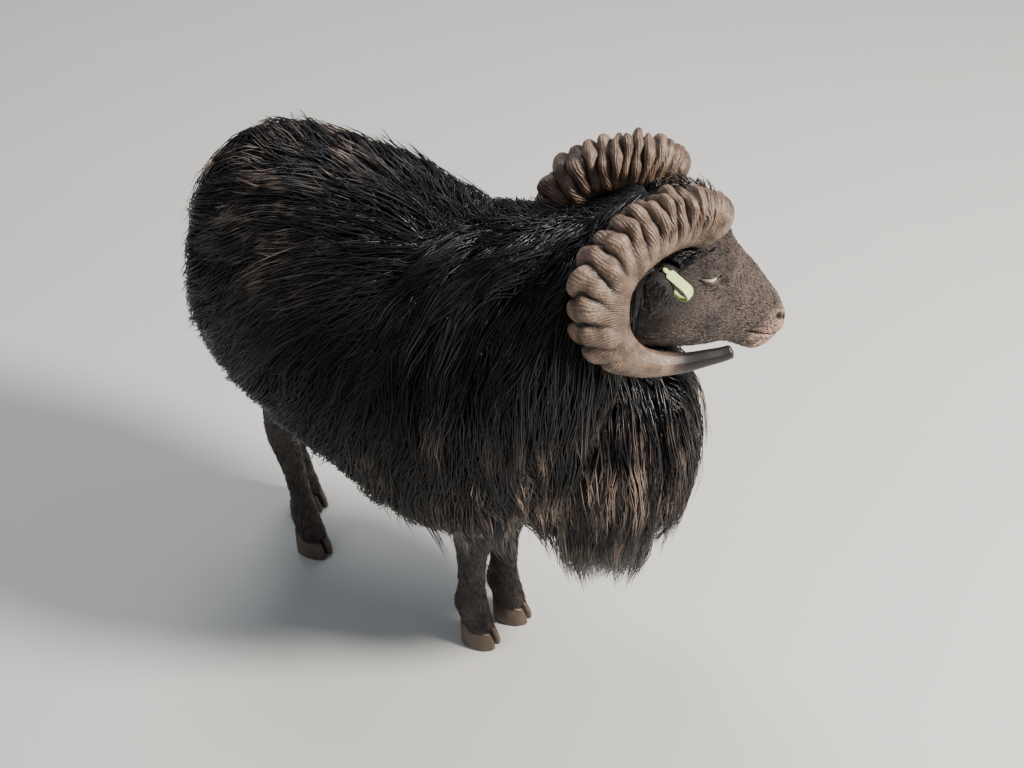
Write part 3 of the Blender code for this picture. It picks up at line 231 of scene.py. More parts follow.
HIND_LEG = (
    (0.036, 0.014, 0.330, 0.044, 0.034),
    (0.012, 0.012, 0.272, 0.038, 0.027),
    (-0.004, 0.010, 0.226, 0.030, 0.020),
    (-0.013, 0.007, 0.192, 0.024, 0.0170),
    (-0.020, 0.004, 0.158, 0.0205, 0.0150),
    (-0.014, 0.002, 0.130, 0.0170, 0.0135),
    (-0.008, 0.001, 0.104, 0.0135, 0.0120),
    (-0.004, 0.000, 0.078, 0.0130, 0.0120),
    (-0.002, 0.000, 0.060, 0.0160, 0.0140),
    (-0.001, 0.000, 0.048, 0.0175, 0.0150),
    (0.004, 0.000, 0.036, 0.0165, 0.0150),
    (0.008, 0.000, 0.022, 0.0168, 0.0158),
)
STANCE = {  # x, y, side, leg, turn of the foot in degrees
    "front_right": (0.113, -0.022, -1, FRONT_LEG, 4),
    "front_left": (0.119, 0.027, 1, FRONT_LEG, 8),
    "hind_right": (-0.126, -0.021, -1, HIND_LEG, -3),
    "hind_left": (-0.183, 0.034, 1, HIND_LEG, 3),
}
print(len(TAIL_BEND), "sections for the tail and", len(FRONT_LEG), "for a leg")

# %% [markdown]
# A sheep's head is long and narrow: the forehead is the widest, the jaw the deepest, and the nose runs out
# straight to small lips. Its sections lie along its own forward line, which points to the ram's left and
# down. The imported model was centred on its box, so the eyes tell by how much everything is shifted.

# %% Sections of the head
SIDES = ((-1, "right"), (1, "left"))  # the ram's own right and left
HEAD_YAW, HEAD_PITCH, HEAD_LENGTH = math.radians(52), math.radians(38), 0.19
NOSE_TIP = np.array((0.335, 0.187, 0.41))
LEVEL_FORWARD = np.array((math.cos(HEAD_YAW), math.sin(HEAD_YAW), 0.0))
HEAD_FORWARD = math.cos(HEAD_PITCH) * LEVEL_FORWARD - math.sin(HEAD_PITCH) * UPWARD
HEAD_LEFT = np.array((-math.sin(HEAD_YAW), math.cos(HEAD_YAW), 0.0))
HEAD_UP = np.cross(HEAD_FORWARD, HEAD_LEFT)
HEAD_AXES = np.array((HEAD_FORWARD, HEAD_LEFT, HEAD_UP))
HEAD_ORIGIN = NOSE_TIP - HEAD_LENGTH * HEAD_FORWARD
HEAD_SECTIONS = (  # forward, top, widest level, bottom, half width, roundness above and below
    (-0.012, 0.0300, -0.010, -0.052, 0.0360, 2.0, 2.0),
    (0.000, 0.0430, -0.008, -0.064, 0.0405, 2.0, 2.0),
    (0.020, 0.0510, -0.004, -0.073, 0.0430, 2.2, 2.0),
    (0.042, 0.0515, 0.002, -0.092, 0.0430, 2.4, 1.9),
    (0.062, 0.0455, 0.004, -0.099, 0.0425, 2.2, 1.8),
    (0.078, 0.0370, 0.002, -0.100, 0.0405, 2.2, 1.8),
    (0.094, 0.0300, -0.002, -0.094, 0.0360, 2.1, 1.9),
    (0.112, 0.0245, -0.008, -0.085, 0.0315, 2.1, 2.0),
    (0.130, 0.0205, -0.012, -0.074, 0.0280, 2.1, 2.1),
    (0.146, 0.0160, -0.014, -0.060, 0.0255, 2.1, 2.2),
    (0.160, 0.0118, -0.016, -0.055, 0.0240, 2.2, 2.3),
    (0.172, 0.0075, -0.018, -0.053, 0.0232, 2.4, 2.4),
    (0.181, 0.0025, -0.019, -0.050, 0.0218, 2.5, 2.4),
    (0.187, -0.0025, -0.020, -0.043, 0.0185, 2.4, 2.3),
    (0.190, -0.0085, -0.020, -0.031, 0.0095, 2.2, 2.2),
)
EYE_PLACE = np.array((0.0640, 0.0310, 0.0015))
EYE_SLOPE = math.radians(36)  # the slit rises forward, so it is level on the bent head
EYE_RADIUS = 0.0112
MOUTH_LINE = ((0.198, -0.0150), (0.187, -0.0195), (0.176, -0.0245), (0.166, -0.0290), (0.155, -0.0325))
EAR_ROOT = (0.0125, 0.0500, -0.0075)
EAR_AXIS = {-1: (-0.30, 0.76, -0.55), 1: (0.20, 0.70, -0.68)}
EAR_LENGTH, EAR_HALF_WIDTH = 0.062, 0.0140
EAR_CUP, EAR_WALL = 0.46, 0.0020  # how deep the ear is cupped for its width, and how thick it is
EAR_DROOP = 0.010  # how far the tip of an ear hangs back from a straight line


def centre_of(node):
    """The middle of a node's box."""
    low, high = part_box(node)
    return (np.array(low) + np.array(high)) / 2


def head_point(forward, left, up):
    """A point of the head's frame in the ram's own frame."""
    return HEAD_ORIGIN + forward * HEAD_FORWARD + left * HEAD_LEFT + up * HEAD_UP


def beside(place, side):
    """A place of the head's frame, given for the left side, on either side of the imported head."""
    return head_point(place[0], side * place[1], place[2]) + SHIFT


SHIFT = (centre_of("eye_right") + centre_of("eye_left")) / 2 - head_point(EYE_PLACE[0], 0, EYE_PLACE[2])
SHIFT[2] = 0.0
print("the packed model is shifted by", SHIFT.round(5))

# %% [markdown]
# A surface function answers one question: where is the point at this place along the form, this angle round
# it and this level above the skin? Everything that grows on the ram asks it, so coat and skin always agree.
# Between two sections a smooth curve is read, as a thin batten bends between the stations of a hull.

# %% Reading sections smoothly


def between(rows, places):
    """Rows of numbers read smoothly at fractional row numbers, by a Catmull-Rom curve."""
    rows = np.asarray(rows, float)
    padded = np.vstack((2 * rows[0] - rows[1], rows, 2 * rows[-1] - rows[-2]))
    places = np.clip(np.asarray(places, float), 0, len(rows) - 1)
    first = np.minimum(places.astype(int), len(rows) - 2)
    t = (places - first)[..., None]
    before, start, end, after = (padded[first + i] for i in range(4))
    return 0.5 * (
        2 * start
        + (end - before) * t
        + (2 * before - 5 * start + 4 * end - after) * t**2
        + (3 * start - before - 3 * end + after) * t**3
    )


def oval(angle, half_width, above, below, power_above=2.0, power_below=2.2):
    """Across and up on a section: the angle is 0 at the top and grows to the left."""
    s, c = np.sin(angle), np.cos(angle)
    power = np.where(c > 0, power_above, power_below)
    across = half_width * np.sign(s) * np.abs(s) ** (2 / power)
    up = np.where(c > 0, above, below) * np.sign(c) * np.abs(c) ** (2 / power)
    return across, up


# %% Surfaces of trunk, neck, ruff and rump


def trunk(place, angle, level):
    """Points of the trunk: level is 0 at the skin and 1 at the tips of the wool."""
    skin, tips = between(TRUNK_SKIN, place), between(TRUNK_TIPS, place)
    row = skin + np.asarray(level)[..., None] * (tips - skin)
    across, up = oval(angle, row[..., 2], row[..., 3], row[..., 4])
    return np.stack((row[..., 0], across, row[..., 1] + up), -1) + SHIFT


def neck(place, angle, level):
    """Points of the neck, from the chest to the poll."""
    skin, tips = between(NECK_SKIN, place), between(NECK_TIPS, place)
    row = skin + np.asarray(level)[..., None] * (tips - skin)
    yaw, lean = np.radians(row[..., 3]), np.radians(row[..., 4])
    nothing = np.zeros_like(yaw)
    side = np.stack((-np.sin(yaw), np.cos(yaw), nothing), -1)
    ahead = np.stack((np.cos(yaw), np.sin(yaw), nothing), -1)
    rise = np.cos(lean)[..., None] * UPWARD + np.sin(lean)[..., None] * ahead
    across, up = oval(angle, row[..., 5], row[..., 6], row[..., 7])
    return row[..., :3] + across[..., None] * side + up[..., None] * rise + SHIFT


def egg(centre, skin, tips, yaw):
    """A surface function for an egg: azimuth in units of 30 degrees, polar angle from its top."""

    def points(azimuth, polar, level):
        turn = np.radians(30 * np.asarray(azimuth)) + yaw
        radii = skin + np.asarray(level)[..., None] * (tips - skin)
        ring = np.sin(np.abs(polar))
        local = np.stack((ring * np.cos(turn), ring * np.sin(turn), np.cos(polar)), -1)
        return centre + radii * local + SHIFT

    return points


ruff = egg(RUFF_CENTRE, RUFF_SKIN, RUFF_TIPS, RUFF_YAW)
rump = egg(RUMP_CENTRE, RUMP_SKIN, RUMP_TIPS, math.pi)
print("the skin's height over the shoulder is", round(float(trunk(7.0, 0.0, 0.0)[2]), 3), "m")

# %% Surfaces of head, legs and tail


def head(place, angle, level):
    """Points of the head in the ram's frame: here level is a height off the skin in metres."""
    row = between(HEAD_SECTIONS, place)
    half_width, top, bottom = row[..., 4], row[..., 1] - row[..., 2], row[..., 2] - row[..., 3]
    across, up = oval(angle, half_width, top, bottom, row[..., 5], row[..., 6])
    swell = 1 + np.asarray(level) / np.maximum(np.hypot(across, up), 0.004)
    local = np.stack((row[..., 0], across * swell, row[..., 2] + up * swell), -1)
    return HEAD_ORIGIN + local @ HEAD_AXES + SHIFT


def head_place(forward):
    """The fractional section number at a distance forward of the poll."""
    return np.interp(forward, [row[0] for row in HEAD_SECTIONS], range(len(HEAD_SECTIONS)))


def limb(foot):
    """A surface function for one leg: place counts the rows from the body down."""
    x, y, side, rows, turn = foot
    turn = math.radians(turn)
    ahead = np.array((math.cos(turn), math.sin(turn), 0.0))
    left = np.array((-ahead[1], ahead[0], 0.0))

    def points(place, angle, level):
        row = between(rows, place)
        level = np.asarray(level)
        centre = row[..., :1] * ahead + row[..., 1:2] * side * left + row[..., 2:3] * UPWARD
        along = ((row[..., 3] + level) * np.cos(angle))[..., None] * ahead
        across = ((row[..., 4] + level) * np.sin(angle))[..., None] * left
        return centre + along + across + np.array((x, y, 0.0)) + SHIFT

    return points


def tail(place, angle, level):
    """Points of the tail, which hangs clear of the rump."""
    row = between(TAIL_BEND, place)
    level = np.asarray(level)
    front = np.cross(TAIL_AXIS, (0, 1.0, 0))
    centre = TAIL_ROOT + row[..., :1] * TAIL_AXIS + row[..., 1:2] * np.array((1.0, 0, 0))
    across = ((row[..., 2] + level) * np.cos(angle))[..., None] * np.array((0, 1.0, 0))
    through = ((row[..., 3] + level) * np.sin(angle))[..., None] * front
    return centre + across + through + SHIFT


# %% [markdown]
# Most forms of an animal are tubes, so rings of points are lofted into closed meshes, with a fan of
# triangles at each end. Modifiers then melt, smooth, join or cut them, and each is applied at once, because
# the next step needs the finished mesh.

# %% Meshes from points and rings


def mesh_object(name, points, faces):
    """An object from points and faces."""
    mesh = bpy.data.meshes.new(name)
    mesh.from_pydata([tuple(p) for p in points], [], [tuple(f) for f in faces])
    mesh.update()
    return add_object(name, mesh)


def loft(name, rings):
    """A closed tube through rings of points, with a fan at each end."""
    rings = np.asarray(rings, float)
    count, sides = rings.shape[:2]
    points = np.vstack((rings.reshape(-1, 3), rings[0].mean(0), rings[-1].mean(0)))
    first, last = count * sides, count * sides + 1
    faces = []
    for k in range(count - 1):
        for i in range(sides):
            j = (i + 1) % sides
            faces.append((k * sides + i, k * sides + j, (k + 1) * sides + j, (k + 1) * sides + i))
    for i in range(sides):
        j = (i + 1) % sides
        faces.append((first, j, i))
        faces.append((last, (count - 1) * sides + i, (count - 1) * sides + j))
    obj = mesh_object(name, points, faces)
    outward(obj)
    return obj


def outward(obj):
    """Turns the faces of a closed mesh outwards."""
    work = bmesh.new()
    work.from_mesh(obj.data)
    bmesh.ops.recalc_face_normals(work, faces=work.faces)
    if work.calc_volume(signed=True) < 0:
        bmesh.ops.reverse_faces(work, faces=work.faces)
    work.to_mesh(obj.data)
    work.free()


# %% Modifiers, joining and cutting


def apply_modifier(obj, kind, **values):
    """Adds a modifier with its values and applies it."""
    select_only(obj)
    modifier = obj.modifiers.new(kind.lower(), kind)
    for key, value in values.items():
        setattr(modifier, key, value)
    bpy.ops.object.modifier_apply(modifier=modifier.name)


def join(objects, name):
    """Joins objects into the first one."""
    deselect()
    for obj in objects:
        obj.select_set(True)
    bpy.context.view_layer.objects.active = objects[0]
    bpy.ops.object.join()
    objects[0].name = name
    return objects[0]


def boolean(obj, others, operation):
    """Adds or cuts other objects, one at a time, and removes them."""
    for other in others:
        apply_modifier(obj, "BOOLEAN", object=other, operation=operation, solver="MANIFOLD")
        bpy.data.objects.remove(other)


def grid(surface, places, angles, level):
    """Rings of a surface function at places and angles."""
    place, angle = np.meshgrid(places, angles, indexing="ij")
    return surface(place, angle, level)


# %% [markdown]
# The skin is one closed mesh, so that no seam shows where legs, neck and head meet the trunk. Rough forms
# for the body overlap one another, a voxel remesh melts them into one surface, and a smoothing pass takes
# the steps out. It lies at the depth of the wool's core, because the coat is built over it.

# %% The skin of the body
CORE_LEVEL = 0.42
RING = full_turn(40)
POLAR = np.linspace(0.02, math.pi - 0.02, 26)


def egg_rings(surface, level):
    """Rings of an egg, from its top to its bottom."""
    return grid(lambda polar, azimuth, at: surface(azimuth, polar, at), POLAR, RING * 6 / math.pi, level)


trunk_places = np.linspace(0, len(TRUNK_SKIN) - 1, 60)
parts = [
    loft("skin", grid(trunk, trunk_places, RING, CORE_LEVEL)),
    loft("skin_neck", grid(neck, np.linspace(0, 3, 24), RING, CORE_LEVEL)),
    loft("skin_ruff", egg_rings(ruff, CORE_LEVEL)),
    loft("skin_rump", egg_rings(rump, CORE_LEVEL)),
    loft("skin_tail", grid(tail, np.linspace(0, 5, 20), RING, 0.0)),
]
# The dock joins the tail to the rump inside the wool
dock_turns = [(-0.185, 0.400, 0.030), (-0.212, 0.410, 0.022), (-0.230, 0.407, 0.014), (-0.237, 0.396, 0.010)]
dock = [
    np.array((x, 0, z)) + SHIFT + size * np.stack((0.4 * np.sin(RING), np.cos(RING), np.sin(RING)), -1)
    for x, z, size in dock_turns
]
parts.append(loft("skin_dock", dock))
for foot in STANCE.values():
    parts.append(loft("skin_leg", grid(limb(foot), np.linspace(0, len(foot[3]) - 1, 56), RING, 0.0)))
body_skin = join(parts, "skin")
apply_modifier(body_skin, "REMESH", mode="VOXEL", voxel_size=0.0037, adaptivity=0.0)
apply_modifier(body_skin, "SMOOTH", factor=0.5, iterations=4)
outward(body_skin)
print("skin of the body:", triangles(body_skin), "triangles")

# %% [markdown]
# The head gets the most care. It is a fine loft through the same sections, and every bump or hollow of a
# ram's face is pressed into it along its normals: brow ridge, lids, the hollow in front of the eye, cheek,
# lips and the line of the mouth. Each is one row: where it is, how far it reaches, how high. The nostrils
# are cut out with long balls.

# %% The head's relief
HEAD_SIDES = 144
RELIEF = (  # forward, out, up, reach forward, out and up, height
    (0.0660, 0.025, 0.0330, 0.024, 0.011, 0.007, 0.0030),  # brow ridge at the edge of the forehead
    (0.0770, 0.034, 0.0190, 0.012, 0.012, 0.007, -0.0036),  # hollow between the ridge and the eye
    (0.0540, 0.038, 0.0160, 0.014, 0.012, 0.006, 0.0022),  # fold over the upper lid
    (0.0640, 0.042, 0.0015, 0.0170, 0.014, 0.0120, -0.0030),  # hollow that the ball of the eye lies in
    (0.0823, 0.036, 0.0040, 0.0075, 0.010, 0.0040, -0.0030),  # tear duct
    (0.0740, 0.040, -0.0130, 0.016, 0.012, 0.006, -0.0014),  # hollow under the eye
    (0.0560, 0.038, -0.0400, 0.030, 0.020, 0.024, 0.0050),  # cheek
    (0.0950, 0.034, -0.0280, 0.022, 0.020, 0.006, 0.0018),  # edge of the cheekbone
    (0.1000, 0.030, -0.0520, 0.020, 0.020, 0.010, -0.0022),  # hollow of the jaw
    (0.1150, 0.000, 0.0250, 0.046, 0.012, 0.016, 0.0014),  # bridge of the nose
    (0.1450, 0.022, 0.0000, 0.030, 0.010, 0.010, -0.0014),  # side of the nose
    (0.1760, 0.0190, 0.0030, 0.010, 0.008, 0.0050, 0.0024),  # wing of the nostril
    (0.1800, 0.0180, -0.0130, 0.012, 0.012, 0.0060, 0.0018),  # upper lip
    (0.1740, 0.0130, -0.0400, 0.012, 0.014, 0.009, 0.0016),  # chin
    (0.1560, 0.0200, -0.0330, 0.010, 0.012, 0.005, -0.0014),  # corner of the mouth
    (0.1900, 0.0000, -0.0160, 0.010, 0.0016, 0.009, -0.0022),  # groove under the nose
    (0.0400, 0.0000, 0.0520, 0.022, 0.020, 0.020, 0.0016),  # forehead
)
NOSTRILS = (  # forward, out, up, and its half length, depth and half height
    (0.1785, 0.0185, -0.0035, 0.0078, 0.0065, 0.0024),
    (0.1715, 0.0215, -0.0040, 0.0030, 0.0050, 0.0036),
)
MOUTH_DEPTH, MOUTH_WIDTH = 0.0026, 0.0013


def to_head(points):
    """Points of the ram's frame in the head's frame."""
    return (points - SHIFT - HEAD_ORIGIN) @ HEAD_AXES.T


def relief(local):
    """The height of the head's relief at points of its own frame."""
    height = np.zeros(len(local))
    for forward, out, up, reach_forward, reach_out, reach_up, tall in RELIEF:
        side = np.where(local[:, 1] < 0, -1.0, 1.0)
        away = ((local[:, 0] - forward) / reach_forward) ** 2
        away += ((local[:, 1] - side * out) / reach_out) ** 2 + ((local[:, 2] - up) / reach_up) ** 2
        height += tall * np.exp(-away)
    line = np.array(MOUTH_LINE)[::-1]
    mouth = np.interp(local[:, 0], line[:, 0], line[:, 1])
    fade = np.clip((local[:, 0] - 0.152) / 0.006, 0, 1)
    height -= MOUTH_DEPTH * fade * np.exp(-(((local[:, 2] - mouth) / MOUTH_WIDTH) ** 2))
    return height


places = np.concatenate((np.linspace(0, 9.5, 90), np.linspace(9.5, 14, 61)[1:]))
angles = full_turn(HEAD_SIDES)
rings = grid(head, places, angles, 0.0)
centres = rings.mean(1, keepdims=True)
normals = unit(rings - centres)
local = to_head(rings.reshape(-1, 3))
rings = rings + normals * relief(local).reshape(*rings.shape[:2], 1)
skull = loft("skull", rings)
nostrils = []
for side, _ in SIDES:
    inward = unit(0.75 * HEAD_FORWARD - 0.35 * side * HEAD_LEFT + 0.08 * HEAD_UP)
    across = unit(np.cross(inward, HEAD_UP))
    axes = (inward, across, np.cross(across, inward))
    for forward, out, up, *sizes in NOSTRILS:
        hole = sphere(1.0, 40, 24)
        place = HEAD_ORIGIN + np.array((forward, side * out, up)) @ HEAD_AXES + SHIFT
        hole.data.transform(placed(place, axes) @ Matrix.Diagonal((*sizes, 1.0)))
        nostrils.append(hole)
boolean(skull, nostrils, "DIFFERENCE")
print("skull:", triangles(skull), "triangles")

# %% [markdown]
# A sheep's ear is a thin cup that narrows to a soft tip. It grows from a short, firm root, and without that
# root a thin ear would look pinned on. Cups and roots are lofted and added to the skull in one union.

# %% Ears on the skull


def head_vector(forward, left, up):
    """A direction of the head's frame in the ram's own frame."""
    return forward * HEAD_FORWARD + left * HEAD_LEFT + up * HEAD_UP


def ear_axes(side):
    """The ear's root, its axis, its width direction and the side that its cup opens to."""
    root = beside(EAR_ROOT, side)
    back, out, down = EAR_AXIS[side]
    axis = unit(head_vector(back, side * out, down))
    opening = head_vector(0.39, -side * 0.42, -0.82)
    opening = unit(opening - (opening @ axis) * axis)
    return root, axis, np.cross(axis, opening) * side, opening


EAR_SPREAD = (0.44, 0.70, 0.92, 1.0, 0.98, 0.88, 0.68, 0.42, 0.06)  # the ear's width along its length


def ear_rings(side, across=24):
    """Crescent rings of a cupped ear with a rolled root and a soft tip."""
    root, axis, width, opening = ear_axes(side)
    rings = []
    for share in np.linspace(0, 1, 36):
        size = EAR_HALF_WIDTH * np.interp(share, np.linspace(0, 1, 9), EAR_SPREAD)
        cup = EAR_CUP * (1 - 0.6 * share)
        wall = EAR_WALL * (1 - 0.5 * share) + 0.005 * max(0.0, 0.16 - share)
        centre = root + axis * EAR_LENGTH * share - opening * EAR_DROOP * share**2
        t = np.linspace(-1, 1, across // 2)[:, None]
        bend = cup * size * (1 - t * t)
        outer = centre + width * size * t - opening * (bend + wall * (1 - t * t) ** 0.5)
        inner = centre + width * size * t[1:-1] * 0.96 - opening * bend[1:-1]
        rings.append(np.vstack((outer, inner[::-1])))
    return rings


ears = [loft("ear", ear_rings(side)) for side, _ in SIDES]
stumps = []
for side, _ in SIDES:
    root, axis, width, opening = ear_axes(side)
    inside = head_point(0.040, side * 0.024, -0.010) + SHIFT
    rows = []
    for share in np.linspace(0, 1, 8):
        centre = inside + share * (root + 0.004 * axis - opening * 0.002 - inside)
        size = 0.0125 - 0.0045 * share
        rows.append(centre + size * (np.cos(RING)[:, None] * width + 0.75 * np.sin(RING)[:, None] * opening))
    stumps.append(loft("ear_root", rows))
boolean(skull, stumps + ears, "UNION")
print("skull with ears:", triangles(skull), "triangles")

# %% [markdown]
# The lids are skin that is drawn over the eyeball. A ball a little larger than the eye is added to the
# skull, and the eye's own ball and a slit are cut out of it, so the lids have an edge and the eye fits.

# %% Lids and eye openings
LID_RADIUS = EYE_RADIUS + 0.0019
SLIT_HALF_LENGTH, SLIT_ABOVE, SLIT_BELOW = 0.0114, 0.0018, 0.0048
SLIT_DOWN = 0.0006  # the slit lies a little below the middle of the ball, as the upper lid has sunk


def slit_edge(side, turns, out):
    """Points round the slit between the lids, at a distance out from the eye."""
    length = SLIT_HALF_LENGTH * np.cos(turns)
    height = np.where(np.sin(turns) > 0, SLIT_ABOVE, SLIT_BELOW) * np.sin(turns) - SLIT_DOWN
    slope, climb = math.cos(EYE_SLOPE), math.sin(EYE_SLOPE)
    along, rise = slope * length - climb * height, slope * height + climb * length
    away = np.full(len(turns), side * (EYE_PLACE[1] + out))
    local = np.stack((EYE_PLACE[0] + along, away, EYE_PLACE[2] + rise), -1)
    return HEAD_ORIGIN + local @ HEAD_AXES + SHIFT


for side, _ in SIDES:
    eye_centre = beside(EYE_PLACE, side)
    balls = []
    for radius in (LID_RADIUS, EYE_RADIUS + 0.0003):
        ball = sphere(radius, 72, 48)
        ball.data.transform(placed(eye_centre))
        balls.append(ball)
    turns = full_turn(56)
    slit = loft("slit", [slit_edge(side, turns, out) for out in (0.002, 0.008, 0.014, 0.020)])
    boolean(skull, [balls[0]], "UNION")
    boolean(skull, [slit, balls[1]], "DIFFERENCE")
print("skull with ears and eye openings:", triangles(skull), "triangles")

# %% One skin
boolean(body_skin, [skull], "UNION")
skin = body_skin
smooth(skin)
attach(skin, "root")
flesh = ["torso", "neck", "head", "tail", "ear_left", "ear_right"] + [f"leg_{name}" for name in STANCE]
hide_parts(*flesh)
print("whole skin:", triangles(skin), "triangles")


# %% [markdown]
# The coat is solid mesh: thousands of thin, tapered strands with three sides. Particle hair would be lost
# in the export. Strands grow in locks: each starts at its own root, rises off the skin, follows the lie of
# the wool, and is drawn towards the middle line of its lock, so that the lock ends in a point. A strand
# needs only a place on a surface function, a direction and a length, so thousands are made at once.

# %% Strands from arrays
STRAND_ANGLES = np.radians((90, 210, 330))
PATCH = 0.003  # size of a strand's patch on the bake map


def strand_piece(name, paths, outs, half_widths, roots, tints, flat=0.62):
    """One mesh of closed, tapered, three-sided strands, with a bake map and a map of tint and share."""
    count, rows = paths.shape[:2]
    along = unit(np.gradient(paths, axis=1))
    side = unit(np.cross(along, outs))
    facing = np.cross(side, along)
    shares = np.linspace(0, 1, rows)
    profile = np.interp(shares, (0, 0.15, 0.6, 0.85, 1), (0.7, 1.0, 0.85, 0.5, 0.0))
    rings = rows - 1
    points = np.empty((count, rings * 3 + 1, 3))
    for k in range(rings):
        size = (half_widths * profile[k])[:, None]
        for j, angle in enumerate(STRAND_ANGLES):
            offset = math.cos(angle) * size * side[:, k] + flat * math.sin(angle) * size * facing[:, k]
            points[:, k * 3 + j] = paths[:, k] + offset
    points[:, -1] = paths[:, -1]
    quads = [
        (k * 3 + j, k * 3 + (j + 1) % 3, (k + 1) * 3 + (j + 1) % 3, (k + 1) * 3 + j)
        for k in range(rings - 1)
        for j in range(3)
    ]
    tips = [((rings - 1) * 3 + j, (rings - 1) * 3 + (j + 1) % 3, rings * 3) for j in range(3)]
    caps = [(2, 1, 0)]
    loops = np.array([v for face in quads + tips + caps for v in face])
    sizes = np.array([len(face) for face in quads + tips + caps])
    per = points.shape[1]
    all_loops = (loops[None, :] + per * np.arange(count)[:, None]).ravel()
    all_sizes = np.tile(sizes, count)
    mesh = bpy.data.meshes.new(name)
    mesh.vertices.add(count * per)
    mesh.vertices.foreach_set("co", points.ravel())
    mesh.loops.add(len(all_loops))
    mesh.loops.foreach_set("vertex_index", all_loops.astype(np.int32))
    mesh.polygons.add(len(all_sizes))
    starts = np.concatenate(([0], np.cumsum(all_sizes)[:-1]))
    mesh.polygons.foreach_set("loop_start", starts.astype(np.int32))
    mesh.polygons.foreach_set("use_smooth", np.ones(len(all_sizes), bool))
    mesh.update(calc_edges=True)
    across = np.append(np.tile((0.0, 0.5, 1.0), rings), 0.5)
    share = np.append(np.repeat(shares[:-1], 3), 1.0)
    bake = np.stack((roots[:, None, 0] + PATCH * across, roots[:, None, 1] + PATCH * share), -1)
    strand = np.stack(np.broadcast_arrays(tints[:, None], share), -1)
    for label, values in (("OFBake", bake), ("Strand", strand)):
        layer = mesh.uv_layers.new(name=label)
        layer.data.foreach_set("uv", values[:, loops].astype(np.float32).ravel())
    obj = add_object(name, mesh)
    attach(obj, "root")
    print(name, count, "strands", triangles(obj), "triangles")
    return obj


# %% [markdown]
# Strands have to keep out of the horns, the head, the ears, the legs and the ear tag. Each of these is
# covered with spheres, and a strand's points are pushed out of any sphere that they fall in, and up off
# the floor.

# %% The line of a horn
HORN_BASE = (0.0195, 0.0375, 0.0430)
HORN_CENTRE = (-0.0600, -0.0480)
LEFT_HORN_BACK, LEFT_HORN_REACH = 0.0125, 0.71
HORN_CURL = (  # turn in degrees, radius, outward, half size in the plane, half thickness
    (36, 0.0790, 0.0000, 0.0262, 0.0200),
    (47, 0.0725, 0.0018, 0.0266, 0.0205),
    (63, 0.0622, 0.0060, 0.0272, 0.0205),
    (80, 0.0545, 0.0115, 0.0277, 0.0205),
    (102, 0.0492, 0.0190, 0.0280, 0.0205),
    (128, 0.0480, 0.0275, 0.0282, 0.0200),
    (155, 0.0492, 0.0370, 0.0276, 0.0195),
    (180, 0.0490, 0.0468, 0.0256, 0.0185),
    (205, 0.0488, 0.0545, 0.0222, 0.0168),
    (230, 0.0480, 0.0592, 0.0180, 0.0143),
    (253, 0.0485, 0.0618, 0.0140, 0.0118),
    (275, 0.0507, 0.0640, 0.0110, 0.0098),
    (294, 0.0558, 0.0662, 0.0092, 0.0084),
    (311, 0.0638, 0.0688, 0.0078, 0.0072),
    (325, 0.0770, 0.0710, 0.0064, 0.0060),
)
HORN_LAST = len(HORN_CURL) - 1


def horn_line(place, side):
    """The centre line of a horn with its half size and half thickness."""
    row = between(HORN_CURL, place)
    angle = np.radians(row[..., 0])
    back = (HORN_CENTRE[0] + row[..., 1] * np.cos(angle)) * (LEFT_HORN_REACH if side > 0 else 1.0)
    rise = HORN_CENTRE[1] + row[..., 1] * np.sin(angle)
    base = head_point(HORN_BASE[0] - (LEFT_HORN_BACK if side > 0 else 0), side * HORN_BASE[1], HORN_BASE[2])
    centre = base + back[..., None] * LEVEL_FORWARD + side * row[..., 2:3] * HEAD_LEFT
    centre = centre + rise[..., None] * UPWARD
    return centre + SHIFT, row[..., 3], row[..., 4]


# %% What the strands keep clear of
obstacles = []
for side, _ in SIDES:
    centres, halves, _ = horn_line(np.linspace(0, HORN_LAST, 30), side)
    obstacles += [(c, h + 0.001) for c, h in zip(centres, halves)]
    root, axis, _, _ = ear_axes(side)
    obstacles += [(root + axis * share * EAR_LENGTH, EAR_HALF_WIDTH) for share in (0.1, 0.35, 0.6, 0.85)]
for forward in np.linspace(0.035, 0.185, 14):
    row = between(HEAD_SECTIONS, head_place(forward))
    radius = 0.96 * min(row[4], (row[1] - row[3]) / 2)
    for up in np.linspace(row[3] + radius, row[1] - radius, 3):
        obstacles.append((head_point(forward, 0, up) + SHIFT, radius))
for foot in STANCE.values():
    surface = limb(foot)
    for place in np.arange(2.0, 11.0, 0.75):
        row = between(foot[3], place)
        ring = surface(place, full_turn(12), 0.0)
        obstacles.append((ring.mean(0), float(row[3]) + 0.001))
print(len(obstacles), "spheres on horns, ears, head and legs")

# %% Where the ear tag hangs
# It hangs free of the wool, so its place is worked out before any wool grows
TAG_LENGTH, TAG_STRAP, TAG_SPREAD = 0.033, 0.0014, 0.0076
TAG_PANEL, TAG_TAIL = 0.0112, 0.0048  # widths of the upper leaf and of the lower one
TAG_PLACE = 0.15  # share of the ear's length
TAG_BACK, TAG_LIFT = 0.0040, 0.0004  # from the ear's middle line to its back rim, and off its back
low, high = (np.array(corner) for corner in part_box("ear_tag"))
print("the tag's solid is", ((high - low) * 1000).round(1), "mm")
root, axis, width, tag_over = ear_axes(-1)
tag_start = root + axis * EAR_LENGTH * TAG_PLACE + TAG_BACK * width
tag_start = tag_start - tag_over * (EAR_DROOP * TAG_PLACE**2 + TAG_LIFT)
tag_out = head_vector(0.76, -0.634, -0.06)
tag_out = unit(tag_out - (tag_out @ tag_over) * tag_over)
along_ear = np.cross(tag_out, tag_over)
